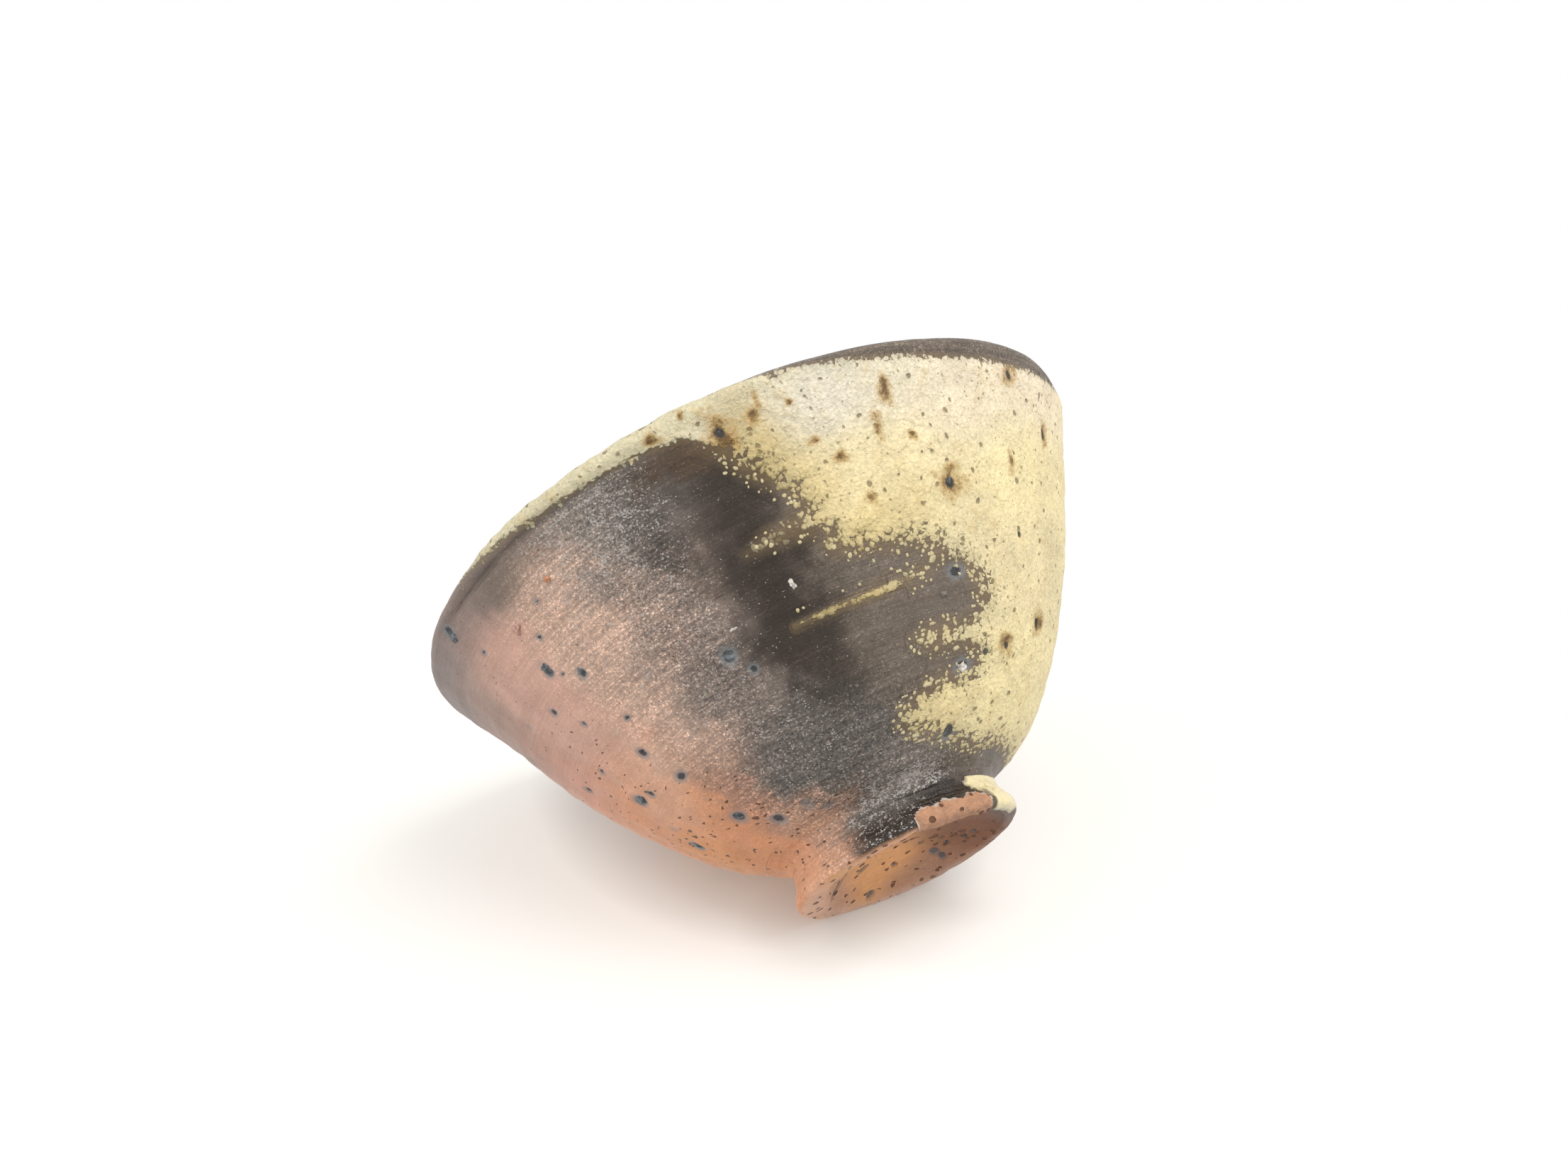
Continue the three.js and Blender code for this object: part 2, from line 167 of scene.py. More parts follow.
# Iron that bled through: angle, height, half its width and height
IRON_SPOTS = [
    (3, 54.3, 1.5, 1.4), (39, 39.7, 1.6, 1.5), (-58, 57, 1.4, 1.2), (-14, 29.3, 1.4, 1.3),
    (34, 11, 1.5, 1.2), (-75, 15, 1.5, 1.0), (-62, 23, 1.7, 1.2), (-56.5, 22.3, 0.9, 0.7),
    (-47, 42, 1.1, 0.9), (-44.8, 40.6, 0.6, 0.5), (-55, 38.5, 1.0, 0.8), (-41, 38.7, 1.1, 0.9),
    (-74, 30.2, 1.1, 0.8), (-60.5, 29, 0.7, 0.6), (-51, 34.3, 0.7, 0.6), (-41, 30.7, 0.9, 0.5),
    (-46, 26.3, 1.1, 1.0), (-44, 21, 1.5, 0.8), (-45, 13.2, 1.5, 1.0), (-37, 10.5, 1.3, 0.8),
    (-42.5, 46, 0.7, 0.6), (-37.5, 49.5, 0.6, 0.5), (-55.5, 51, 0.7, 0.6), (58, 32.7, 1.1, 0.9),
    (46, 18.5, 1.0, 0.9), (54, 19, 1.2, 0.9), (68, 22, 1.2, 1.1), (70, 48, 1.0, 1.5), (58, 54.5, 1.4, 1.2),
    (38, 28.5, 1.8, 1.1), (-83, 40.7, 1.4, 0.8), (38, 17.3, 1.8, 1.0), (-11, 26.4, 0.9, 0.8),
    (120, 30, 1.4, 1.2), (101, 47, 1.3, 1.4), (-105, 33, 1.2, 1.0), (-128, 47, 1.4, 1.1),
    (-150, 25, 1.5, 1.1), (168, 38, 1.3, 1.2), (-165, 52, 1.1, 1.0), (145, 20, 1.3, 1.0),
    (-118, 18, 1.4, 0.9), (95, 25, 1.0, 0.9), (-100, 52, 0.6, 0.5), (-112, 44, 0.8, 0.6),
    (-109, 42.6, 0.5, 0.4), (-136, 37, 0.6, 0.5), (-142, 56, 0.9, 0.7), (-158, 33, 0.5, 0.4),
    (-172, 44, 0.7, 0.6), (178, 27, 0.9, 0.6), (158, 29, 0.6, 0.5), (-124, 27, 0.6, 0.5),
    (-134, 13, 0.9, 0.6), (-98, 22, 0.7, 0.5), (-95, 46, 0.5, 0.4), (152, 55, 0.8, 0.6),
    (-152, 14, 0.6, 0.5),
]

# Grey discs of iron that stayed under the skin, in the same way
GREY_SPOTS = [
    (-24, 9.9, 0.6, 0.45), (-19, 8.9, 0.6, 0.3), (-33, 50.5, 0.4, 0.5), (-47, 43.5, 0.5, 0.4),
    (-66, 41, 0.5, 0.4), (-30, 33, 0.5, 0.4), (-68, 18, 0.6, 0.4), (-140, 30, 0.5, 0.4),
    (-155, 42, 0.5, 0.4), (-108, 25, 0.6, 0.4),
]

# Brown stains of iron in the ash, in the same way
STAINS = [
    (3, 54.4, 2.6, 2.3), (39, 39.7, 2.4, 2.2), (30, 53.3, 1.0, 2.0), (27, 48.3, 1.0, 2.0),
    (9.8, 56.2, 0.6, 1.6), (22.5, 40, 1.0, 0.9), (56, 42.5, 0.8, 1.8), (8.6, 54.9, 1.2, 1.0),
    (58, 54.6, 2.0, 1.6), (70, 48, 1.3, 2.2), (19, 46, 1.3, 0.8), (33, 46.5, 0.7, 0.7),
    (14.3, 54.5, 0.6, 0.5), (-6.5, 57.5, 1.2, 0.7), (-1, 58.2, 0.6, 0.6), (16, 49, 1.1, 0.7),
    (68, 22, 1.8, 1.6), (54, 19, 1.8, 1.4), (110, 44, 1.2, 2.6), (126, 50, 1.4, 2.8), (98, 36, 1.4, 1.4),
]

# Dark slots of coarse grit in the foot's recess: x, y, half its length and width, its turn in degrees
RECESS_SLOTS = [
    (-11.9, 1.6, 1.9, 0.6, 166), (-7.0, 4.4, 1.2, 0.7, 171), (-8.0, 11.2, 1.0, 0.6, 10),
    (4.4, 11.2, 0.9, 0.8, 60), (5.2, 12.6, 0.7, 0.7, 0), (-2.3, 9.9, 0.6, 0.4, 0), (-0.7, 3.5, 0.5, 0.4, 0),
    (2.8, 3.8, 0.5, 0.4, 30), (3.0, 7.2, 0.5, 0.5, 0), (6.4, 8.0, 0.5, 0.4, 0), (6.9, 9.8, 0.4, 0.5, 0),
    (11.5, 7.9, 0.5, 0.5, 20), (9.9, 9.3, 0.4, 0.5, 0), (8.0, -9.4, 1.2, 0.4, 70),
    (-6.6, -9.4, 1.4, 0.6, 60), (2.0, -6.0, 0.9, 0.3, 70),
]

# Soft patches of colour under the foot: tone, x, y, reach in x, reach in y; the darker brown patches are
# partly painted shade, darker to the right and along the edge of the recess towards -Y
UNDER_TONES = [
    ("ochre_clay", -5, 1, 7, 11), ("recess_clay_and_shade", 9, 1, 6, 11), ("recess_clay_and_shade", 5, -12, 7, 3), ("rust", -13, 4, 3, 8),
    ("peach", -16, -3, 2.5, 9), ("rust", 0, 15, 14, 3), ("bark", 16.4, -4, 1.6, 6),
    ("scar", 0, -17, 12, 1.0), ("rust", 2, -11, 6, 2),
]

# The wad's scar and the run of ash on the foot, as outlines of angle and height
SCAR_OUTLINE = [
    (11, -1), (10, 1.4), (12, 2.3), (16, 2.7), (22, 2.4), (28, 2.8), (35, 2.4), (42, 2.8), (48, 2.5),
    (53, 1.9), (55, 1.0), (54, -1),
]
RUN_OUTLINE = [
    (45, 4.6), (50, 6.0), (60, 6.8), (80, 6.9), (96, 6.6), (100, 5.0), (95, 4.2), (92, 2.6), (86, 2.2),
    (84, 0.4), (78, -1), (58, -1), (57, 1.6), (55, 2.4), (50, 3.2),
]
FOOT_MM_PER_DEGREE = 0.32

# Half an iron bead, as radius and height in shares of its own radius
BEAD_OUTLINE = [
    (0, 0.3), (0.3, 0.28), (0.55, 0.2), (0.75, 0.08), (0.9, 0.1), (1.05, 0.04), (1.2, -0.1),
    (0.9, -0.6), (0, -0.6),
]
BEAD_SIDES = 18

# The stones by number: tone, and how they are drawn out along and across the wall
STONES = [
    ("feldspar", 0.7, 1.2), ("feldspar", 1.5, 0.5), ("pearl", 0.8, 0.9), ("salmon", 0.9, 0.9),
    ("blush", 1.1, 0.8), ("slate", 1.0, 0.8), ("feldspar", 1.1, 0.8), ("flint", 1.0, 0.7),
]


def linear(code):
    """A colour written as sRGB hex, as linear numbers."""
    parts = [int(code[i:i + 2], 16) / 255 for i in (1, 3, 5)]
    return [p / 12.92 if p <= 0.04045 else ((p + 0.055) / 1.055) ** 2.4 for p in parts]


def shade(name, description, code):
    """A colour that a user may change."""
    return FloatVectorProperty(
        name=name, description=description, subtype="COLOR", size=3, min=0, max=1, default=linear(code))


def length(name, description, value):
    """A length in millimetres that a user may change."""
    return FloatProperty(name=name, description=description, default=value * MM, unit="LENGTH", precision=5)


class BowlSizes(bpy.types.PropertyGroup):
    """Sizes of the bowl"""
    rim_radius: length("Rim radius", "Half the width across the lip", WALL_BOX[1].x / MM)
    height: length("Height", "From the table to the top of the lip", WALL_BOX[1].z / MM)
    lip_thickness: length("Lip thickness", "Across the round lip", 3)
    wall_thickness: length("Wall thickness", "Halfway up the bowl", 4.2)
    floor_thickness: length("Floor thickness", "On the axis", 6)
    lip_line: length("Lip line", "How far down the wall keeps the lip's slope", 46)
    underside_height: length("Underside height", "Lowest point of the bowl inside its foot", 4.8)
    underside_reach: length("Underside reach", "How far the underside stays close to level", 26.5)
    lip_lean: FloatProperty(
        name="Lip lean", description="Slope of the wall at the lip", subtype="ANGLE",
        default=math.radians(65))
    land_radius: length("Land radius", "Outside of the ring that the foot stands on", 17.9)
    flare_radius: length("Flare radius", "Widest part of the foot", 18.8)
    neck_radius: length("Neck radius", "Narrowest part of the foot", 17.5)
    recess_radius: length("Recess radius", "Edge of the hollow under the foot", 15.6)
    recess_depth: length("Recess depth", "Hollow under the foot", 4.2)
    recess_offset: length("Recess offset", "How far the hollow lies off centre", 1.2)
    ash_thickness: length("Ash thickness", "Where the ash is deepest", 0.55)
    wall_sides: IntProperty(name="Wall sides", description="Facets round the wall", default=600, min=64)
    foot_sides: IntProperty(name="Foot sides", description="Facets round the foot", default=360, min=64)


class BowlColours(bpy.types.PropertyGroup):
    """Colours that the fire gave the clay and the ash, and colours of painted glints and painted shade"""
    slate: shade("Slate", "Smoked clay under the lip", "#877770")
    mauve: shade("Mauve", "Purple-grey clay high on the cool side", "#9f8273")
    blush: shade("Blush", "Pale pink clay", "#cda18e")
    rose: shade("Rose", "Pink clay on the cool side", "#c58f79")
    salmon: shade("Salmon", "Pink to orange clay", "#d79165")
    peach: shade("Peach", "Pale orange clay low on the wall", "#dca888")
    orange: shade("Orange", "Flashed clay by the foot", "#d28b52")
    umber: shade("Umber", "Gritty brown clay", "#c8a691")
    taupe: shade("Taupe", "Gritty grey-brown clay", "#8f7d71")
    smoke: shade("Smoke", "Smoked grey-brown clay", "#7f7167")
    flint: shade("Flint", "Gritty grey clay", "#81786f")
    soot: shade("Soot", "Clay blackened beside the ash", "#271c13")
    dusk: shade("Dusk", "Brown-black clay", "#33291f")
    sepia: shade("Sepia", "Brown-black clay by the edge of the ash", "#4f3c28")
    bark: shade("Bark", "Grey-brown clay between the tongues of ash", "#685c50")
    charcoal: shade("Charcoal", "Black and grey clay low on the wall", "#615a53")
    rust: shade("Rust", "Red-brown clay by the foot", "#a87e67")
    bronze: shade("Bronze", "Shining pink clay on the foot", "#c59a80")
    cream: shade("Cream", "Ash under the lip", "#ece0c2")
    pearl: shade("Pearl", "Grey-white ash", "#dad3c4")
    ivory: shade("Ivory", "Palest ash", "#f9e7c9")
    straw: shade("Straw", "Pale yellow ash", "#efdcab")
    butter: shade("Butter", "Bright yellow ash", "#f9e6ae")
    mustard: shade("Mustard", "Yellow ash near its edge", "#f0daa0")
    gold: shade("Gold", "Deep yellow ash beside the dark clay", "#d3bb7c")
    tan: shade("Tan", "Brown bloom where the ash is thin", "#c4aa74")
    ochre: shade("Ochre", "Thin streak of ash", "#a89054")
    dun: shade("Dun", "Thinnest tongue of ash", "#7d6847")
    lichen: shade("Lichen", "Grey-yellow ash on the lip", "#d9cfac")
    # Painted glint: silver painted on glassy grains in place of highlights of light
    painted_glint_colour: shade("Silver", "Lustre of the glassiest grains", "#b9b2ab")
    iron: shade("Iron", "Heart of an iron spot", "#26282b")
    iron_halo: shade("Iron halo", "Blue-grey ring of an iron spot", "#7d8284")
    stain: shade("Stain", "Heart of a drip of iron in the ash", "#5e4320")
    amber: shade("Amber", "Iron drawn into the ash", "#b08a48")
    pit: shade("Pit", "Shaded bottom of a pit", "#6a4327")
    # Painted shade at the bottoms of holes in the ash, and the colour of its dark specks
    ash_pit_shade_and_speck: shade("Ash pit", "Bottom of a pit in the ash", "#7a6845")
    ochre_clay: shade("Ochre clay", "Bare clay in the foot's recess", "#e0a066")
    # Painted shade in the foot's recess, partly the darker clay itself
    recess_clay_and_shade: shade("Cocoa", "Darker clay in the recess", "#825438")
    scar: shade("Scar", "Broken clay where the wad stood", "#dba47f")
    glass: shade("Glass", "Run of melted ash", "#eadaab")
    feldspar: shade("Feldspar", "Burst stone", "#e6ded2")


def in_mm(sizes):
    """The sizes as plain numbers, lengths in millimetres."""
    kept = ("lip_lean", "wall_sides", "foot_sides")
    names = BowlSizes.__annotations__
    return SimpleNamespace(**{n: getattr(sizes, n) if n in kept else getattr(sizes, n) / MM for n in names})


def bezier(a, b, c, d, count=600):
    """Points of a curve from a to d, drawn towards b and c."""
    t = np.linspace(0, 1, count)[:, None]
    a, b, c, d = (np.array(p, float) for p in (a, b, c, d))
    return (1 - t) ** 3 * a + 3 * (1 - t) ** 2 * t * b + 3 * (1 - t) * t * t * c + t ** 3 * d


def run_of(line):
    """Length along a line up to each of its points."""
    return np.r_[0, np.cumsum(np.hypot(*np.diff(line, axis=0).T))]


def spaced(line, step):
    """The same line with its points about a step apart."""
    run = run_of(line)
    at = np.linspace(0, run[-1], max(2, round(run[-1] / step) + 1))
    return np.stack([np.interp(at, run, line[:, 0]), np.interp(at, run, line[:, 1])], 1)


def wall_outline(size):
    """The bowl's outline, from its underside over the lip to its floor, and the number of its top point."""
    slope = np.array([math.cos(size.lip_lean), math.sin(size.lip_lean)])
    lip = size.lip_thickness / 2
    edge = np.array([size.rim_radius - lip * (1 - slope[1]), size.height - lip * (1 + slope[0])])
    outer = bezier(
        (0, size.underside_height), (size.underside_reach, size.underside_height),
        edge - size.lip_line * slope, edge)
    hidden = outer[:, 0] < size.neck_radius - 1
    turn = np.linspace(size.lip_lean - math.pi / 2, size.lip_lean + math.pi / 2, 10)[1:-1]
    centre = edge + lip * np.array([-slope[1], slope[0]])
    round_lip = centre + lip * np.stack([np.cos(turn), np.sin(turn)], 1)
    along = np.gradient(outer, axis=0)
    along /= np.hypot(*along.T)[:, None]
    share = run_of(outer) / run_of(outer)[-1]
    depth = np.interp(
        share, (0, 0.5, 0.6, 1), (size.floor_thickness, size.wall_thickness, size.wall_thickness, 2 * lip))
    inner = outer + depth[:, None] * np.stack([-along[:, 1], along[:, 0]], 1)
    inner = inner[inner[:, 0] > 0]
    inner[0, 0] = 0
    line = np.concatenate([
        spaced(outer[hidden], HIDDEN_STEP), spaced(outer[~hidden], WALL_STEP), round_lip,
        spaced(inner[::-1], INSIDE_STEP)])
    return line, int(np.argmax(line[:, 1]))


def turned(name, outline, sides):
    """A shape turned on the wheel: its outline is drawn point by point, then spun round the axis."""
    bpy.ops.object.select_all(action="DESELECT")
    bpy.ops.mesh.primitive_plane_add(size=MM)
    piece = bpy.context.object
    piece.name = piece.data.name = name
    places = [Vector((0, -r * MM, z * MM)) for r, z in outline]
    bpy.ops.object.mode_set(mode="EDIT")
    bpy.ops.mesh.select_mode(type="VERT")
    bpy.ops.mesh.merge(type="CENTER")
    bpy.ops.transform.translate(value=places[0])
    for here, there in zip(places, places[1:]):
        bpy.ops.mesh.extrude_region_move(TRANSFORM_OT_translate={"value": there - here})
    bpy.ops.object.mode_set(mode="OBJECT")
    if len(piece.data.vertices) != len(outline):
        raise RuntimeError(f"{name}: its outline was not drawn")
    piece.data.attributes.new("run", "FLOAT", "POINT").data.foreach_set("value", run_of(np.array(outline)))
    bpy.ops.object.mode_set(mode="EDIT")
    bpy.ops.mesh.select_all(action="SELECT")
    bpy.ops.mesh.spin(steps=sides, angle=2 * math.pi, center=(0, 0, 0), axis=(0, 0, 1))
    bpy.ops.mesh.select_all(action="SELECT")
    bpy.ops.mesh.remove_doubles(threshold=1e-6)
    bpy.ops.mesh.normals_make_consistent(inside=False)
    bpy.ops.object.mode_set(mode="OBJECT")
    bpy.ops.object.shade_smooth()
    return piece


def read(data, field, width):
    """A field of all the items of a collection, as rows of numbers."""
    values = np.empty(len(data) * width)
    data.foreach_get(field, values)
    return values.reshape(-1, width) if width > 1 else values


def charted(piece):
    """Where each point of a turned piece is, in millimetres and degrees, and which way it faces."""
    at = read(piece.data.vertices, "co", 3) / MM
    return SimpleNamespace(
        at=at, height=at[:, 2],
        angle=np.degrees(np.arctan2(at[:, 0], -at[:, 1])),
        radius=np.hypot(at[:, 0], at[:, 1]),
        run=read(piece.data.attributes["run"].data, "value", 1),
        out=read(piece.data.vertex_normals, "vector", 3))


def press(piece, at):
    """Moves the points of a piece to new places in millimetres."""
    piece.data.vertices.foreach_set("co", (at * MM).ravel())
    piece.data.update()


def lumps(at, size, seed=0):
    """Soft unevenness of about a size in millimetres, from -1 to 1."""
    shift = Vector((seed * 7.3, seed * 3.1, seed * 5.7))
    return np.array([noise.noise(Vector(p) / size + shift) for p in at])


def turn_from(angle, centre):
    """Angle from a centre, the short way round."""
    return (angle - centre + 180) % 360 - 180


def rising(x, low, high):
    """A straight rise from 0 at a low value to 1 at a high one."""
    return np.clip((x - low) / (high - low), 0, 1)


def hump(x, centre, reach):
    """A soft hump, 1 at its centre."""
    return np.exp(-((x - centre) / reach) ** 2)


def blended(patches, angle, height):
    """At each place, a blend of the soft patches near it."""
    total = np.full(len(angle), 1e-30)
    mixed = 0
    for value, at_angle, at_height, round_by, up_by in patches:
        weight = np.exp(-(turn_from(angle, at_angle) / round_by) ** 2 - ((height - at_height) / up_by) ** 2)
        total += weight
        mixed = mixed + weight[:, None] * np.atleast_1d(value)
    return mixed / total[:, None]


def toned(tones, colours, angle, height):
    """At each place, the blend of the tones near it."""
    return blended([(np.array(getattr(colours, tone)), *rest) for tone, *rest in tones], angle, height)


def spotted(spots, chart):
    """How deep each place lies in a spot: 1 in its middle, 0 on its edge, negative outside."""
    deep = np.full(len(chart.angle), NO_SPOT)
    for angle, height, wide, tall in spots:
        across = np.radians(turn_from(chart.angle, angle)) * chart.radius / wide
        deep = np.maximum(deep, 1 - np.hypot(across, (chart.height - height) / tall))
    return deep


def inside_by(outline, u, v):
    """How far each place lies inside an outline, negative outside."""
    far = np.full(len(u), np.inf)
    inside = np.zeros(len(u), bool)
    for (au, av), (bu, bv) in zip(outline, outline[1:] + outline[:1]):
        du, dv = bu - au, bv - av
        t = np.clip(((u - au) * du + (v - av) * dv) / (du * du + dv * dv), 0, 1)
        far = np.minimum(far, np.hypot(u - au - t * du, v - av - t * dv))
        inside ^= ((av > v) != (bv > v)) & (u < au + (v - av) * du / (dv or 1))
    return np.where(inside, far, -far)


def paint(piece, name, values):
    """Keeps a number or a colour at each point of a piece, for its material."""
    values = np.squeeze(values)
    if values.ndim == 1:
        piece.data.attributes.new(name, "FLOAT", "POINT").data.foreach_set("value", values)
        return
    rgba = np.concatenate([values, np.ones((len(values), 1))], 1)
    piece.data.attributes.new(name, "FLOAT_COLOR", "POINT").data.foreach_set("color", rgba.ravel())


def retouch(piece, name, values, share):
    """Blends new values into what is painted on a piece, by a share of 0 to 1 at each point."""
    layer = piece.data.attributes[name]
    field, width = ("color", 4) if layer.data_type == "FLOAT_COLOR" else ("value", 1)
    kept = read(layer.data, field, width)
    if width == 4:
        kept[:, :3] += share[:, None] * (np.array(values) - kept[:, :3])
    else:
        kept += share * (values - kept)
    layer.data.foreach_set(field, kept.ravel())


def fire(piece, chart, colours, inside=None, ash=None, veil=None):
    """Paints what the flame did to each place of a clay piece, and how much painted glint of light its
    grains get.
    """
    count = len(chart.angle)
    inside = np.zeros(count, bool) if inside is None else inside
    wander = lumps(chart.at, 7, 8) + 0.5 * lumps(chart.at, 2, 9)
    flash = toned(OUTSIDE_TONES, colours, chart.angle + 7 * wander, chart.height + 2 * wander)
    flash[inside] = toned(INSIDE_TONES, colours, chart.angle, chart.height)[inside]
    paint(piece, "flash", flash)
    paint(piece, "bloom", toned(ASH_TONES, colours, chart.angle, chart.height))
    for name, patches, within in (
            ("grit", GRIT, 0.35), ("gloss", GLOSS, 0.35), ("pits", PITS, 0.3), ("painted_glint_share", PAINTED_GLINT_SHARES, 0.0)):
        paint(piece, name, np.where(inside, within, blended(patches, chart.angle, chart.height)[:, 0]))
    iron = np.maximum(spotted(IRON_SPOTS, chart), 0.25 * spotted(GREY_SPOTS, chart))
    paint(piece, "iron", np.where(inside, NO_SPOT, iron))
    paint(piece, "stain", np.where(inside, NO_SPOT, spotted(STAINS, chart)))
    paint(piece, "ash", np.full(count, FAR) if ash is None else ash)
    paint(piece, "veil", np.full(count, FAR) if veil is None else veil)


def dress(piece, slot, material, *nodes):
    """Puts a finished piece on the bowl in place of its nodes of the frame."""
    piece.data.materials.clear()
    piece.data.materials.append(material)
    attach(piece, "root")
    if nodes:
        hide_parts(*nodes)


def per_mm(size):
    """Scale of a pattern whose cells are a size in millimetres."""
    return 1 / (size * MM)


def add(tree, kind, inputs=None, **settings):
    """Adds a node, makes its settings and fills its sockets with values or links."""
    made = tree.nodes.new(kind)
    for name, value in settings.items():
        setattr(made, name, value)
    for key, value in (inputs or {}).items():
        if isinstance(value, bpy.types.NodeSocket):
            tree.links.new(value, made.inputs[key])
        else:
            made.inputs[key].default_value = value
    return made


def calc(tree, operation, *values):
    """The result of a sum on numbers or links."""
    return add(tree, "ShaderNodeMath", dict(enumerate(values)), operation=operation).outputs[0]


def ranged(tree, value, low, high, to_low, to_high):
    """A value carried from one range over to another, and held inside it."""
    return add(tree, "ShaderNodeMapRange", {
        "Value": value, 1: low, 2: high, 3: to_low, 4: to_high}).outputs[0]


def mixed(tree, share, under, over):
    """One colour laid over another, by a share of 0 to 1."""
    return add(tree, "ShaderNodeMix", {0: share, 6: under, 7: over}, data_type="RGBA").outputs[2]


def clouds(tree, place, size, detail, roughness=0.5):
    """Soft noise of about a size in millimetres."""
    return add(tree, "ShaderNodeTexNoise", {
        "Vector": place, "Scale": per_mm(size), "Detail": detail, "Roughness": roughness})


def cells(tree, place, size):
    """Cells of about a size in millimetres."""
    return add(tree, "ShaderNodeTexVoronoi", {"Vector": place, "Scale": per_mm(size)})


def surface(tree, colour, roughness, relief, depth, shine=None):
    """Ends a material, with its relief of a depth in millimetres."""
    normal = add(tree, "ShaderNodeBump", {"Height": relief, "Distance": depth * MM}).outputs[0]
    shader = add(tree, "ShaderNodeBsdfPrincipled", {
        "Base Color": colour, "Roughness": roughness, "Normal": normal, **(shine or {})}).outputs[0]
    add(tree, "ShaderNodeOutputMaterial", {"Surface": shader})


def named_material(name):
    """A new empty material and its tree of nodes; the tree is None if the material was there already."""
    found = bpy.data.materials.get(name)
    if found:
        return found, None
    made = bpy.data.materials.new(name)
    made.use_nodes = True
    made.node_tree.nodes.clear()
    return made, made.node_tree


def rgba(colour):
    """A colour for a socket."""
    return (*colour, 1)


def wood_fired_stoneware(colours):
    """Stoneware fired for days in wood flame, with natural ash melted on it.

    The clay is satin, flashed from pink to black, with pale and dark grit, fine throwing lines and pits.
    The ash is a sugary yellow skin that breaks up into separate beads where it thins out.
    """
    material, tree = named_material("wood_fired_stoneware")
    if tree is None:
        return material
    place = add(tree, "ShaderNodeTexCoord").outputs["Object"]
    kept = {
        name: add(tree, "ShaderNodeAttribute", attribute_name=name)
        for name in ("flash", "bloom", "grit", "gloss", "pits", "painted_glint_share", "iron", "stain", "ash", "veil")}
    fac = {name: node.outputs["Fac"] for name, node in kept.items()}

    # Uneven tone over about 6 mm, throwing lines a third of a millimetre apart, grains of about 0.3 mm
    mottle = clouds(tree, place, 6, 4, 0.6).outputs["Fac"]
    grit = clouds(tree, place, 0.5, 3, 0.75).outputs["Fac"]
    flat = add(tree, "ShaderNodeMapping", {"Vector": place, "Scale": (1, 1, 24)}).outputs[0]
    lines = clouds(tree, flat, 9, 2, 0.6).outputs["Fac"]
    wobble = clouds(tree, place, 0.3, 2).outputs["Color"]
    uneven = add(tree, "ShaderNodeVectorMath", {
        0: wobble, 1: (0.4 * MM, 0.4 * MM, 0.4 * MM), 2: place}, operation="MULTIPLY_ADD").outputs[0]
    lying = add(tree, "ShaderNodeMapping", {"Vector": uneven, "Scale": (1, 1, 1.6)}).outputs[0]
    grain = cells(tree, lying, 0.34)
    chances = add(tree, "ShaderNodeSeparateColor", {0: grain.outputs["Color"]}).outputs
    dot = ranged(tree, grain.outputs["Distance"], 0.05, 0.8, 1, 0)

    # Bright grains show where the clay is gritty: pale grit, partly painted sparkle of light; the throwing
    # lines are painted lighter and darker, partly as painted shade and highlight of their relief, and
    # silver glints are painted where the glint share is high
    tone = ranged(tree, mottle, 0.25, 0.75, 0.86, 1.14)
    lines_relief_and_shade = ranged(tree, lines, 0.38, 0.64, 0.77, 1.34)
    grit_and_painted_sparkle = calc(tree, "POWER", chances[0], 3.0)
    grit_and_painted_sparkle = calc(tree, "MULTIPLY", grit_and_painted_sparkle, dot)
    grit_and_painted_sparkle = ranged(tree, grit_and_painted_sparkle, 0, 1, 0.78, 3.4)
    sandy = ranged(tree, grit, 0.3, 0.7, 0.35, 1.65)
    grit_and_painted_sparkle = calc(tree, "MULTIPLY", grit_and_painted_sparkle, sandy)
    grit_and_painted_sparkle = calc(tree, "MULTIPLY", grit_and_painted_sparkle, lines_relief_and_shade)
    grit_and_painted_sparkle = add(tree, "ShaderNodeMix", {0: fac["grit"], 2: 1.0, 3: grit_and_painted_sparkle}).outputs[0]
    level = calc(tree, "MULTIPLY", tone, grit_and_painted_sparkle)
    clay = add(tree, "ShaderNodeVectorMath", {
        0: kept["flash"].outputs["Color"], "Scale": level}, operation="SCALE").outputs[0]
    # Painted glints: grains turn silver where the glint share is high, as painted highlights of light
    fleck = clouds(tree, lying, 1.4, 5, 0.75).outputs["Fac"]
    glint = calc(tree, "MULTIPLY_ADD", fac["painted_glint_share"], 0.25, fleck)
    spark = calc(tree, "MULTIPLY", chances[1], dot)
    glint = calc(tree, "MULTIPLY_ADD", spark, 0.34, glint)
    glint = ranged(tree, glint, 0.8, 0.9, 0, 0.9)
    clay = mixed(tree, glint, clay, rgba(colours.painted_glint_colour))

    # Pits: slots about 1 mm long, drawn out along the throwing lines, painted dark as the shade at their
    # bottoms
    drift = clouds(tree, place, 1.3, 1).outputs["Color"]
    bent = add(tree, "ShaderNodeVectorMath", {
        0: drift, 1: (1.1 * MM, 1.1 * MM, 1.1 * MM), 2: place}, operation="MULTIPLY_ADD").outputs[0]
    slots = add(tree, "ShaderNodeMapping", {"Vector": bent, "Scale": (1, 1, 2.4)}).outputs[0]
    pit_cell = cells(tree, slots, 1.5)
    pit_size = add(tree, "ShaderNodeSeparateColor", {0: pit_cell.outputs["Color"]}).outputs[0]
    pit_size = ranged(tree, pit_size, 0.35, 1, 0, 0.4)
    pit_size = calc(tree, "MULTIPLY", pit_size, fac["pits"])
    pit = calc(tree, "SUBTRACT", pit_size, pit_cell.outputs["Distance"])
    pit = ranged(tree, pit, 0, 0.08, 0, 1)
    clay = mixed(tree, pit, clay, rgba(colours.pit))

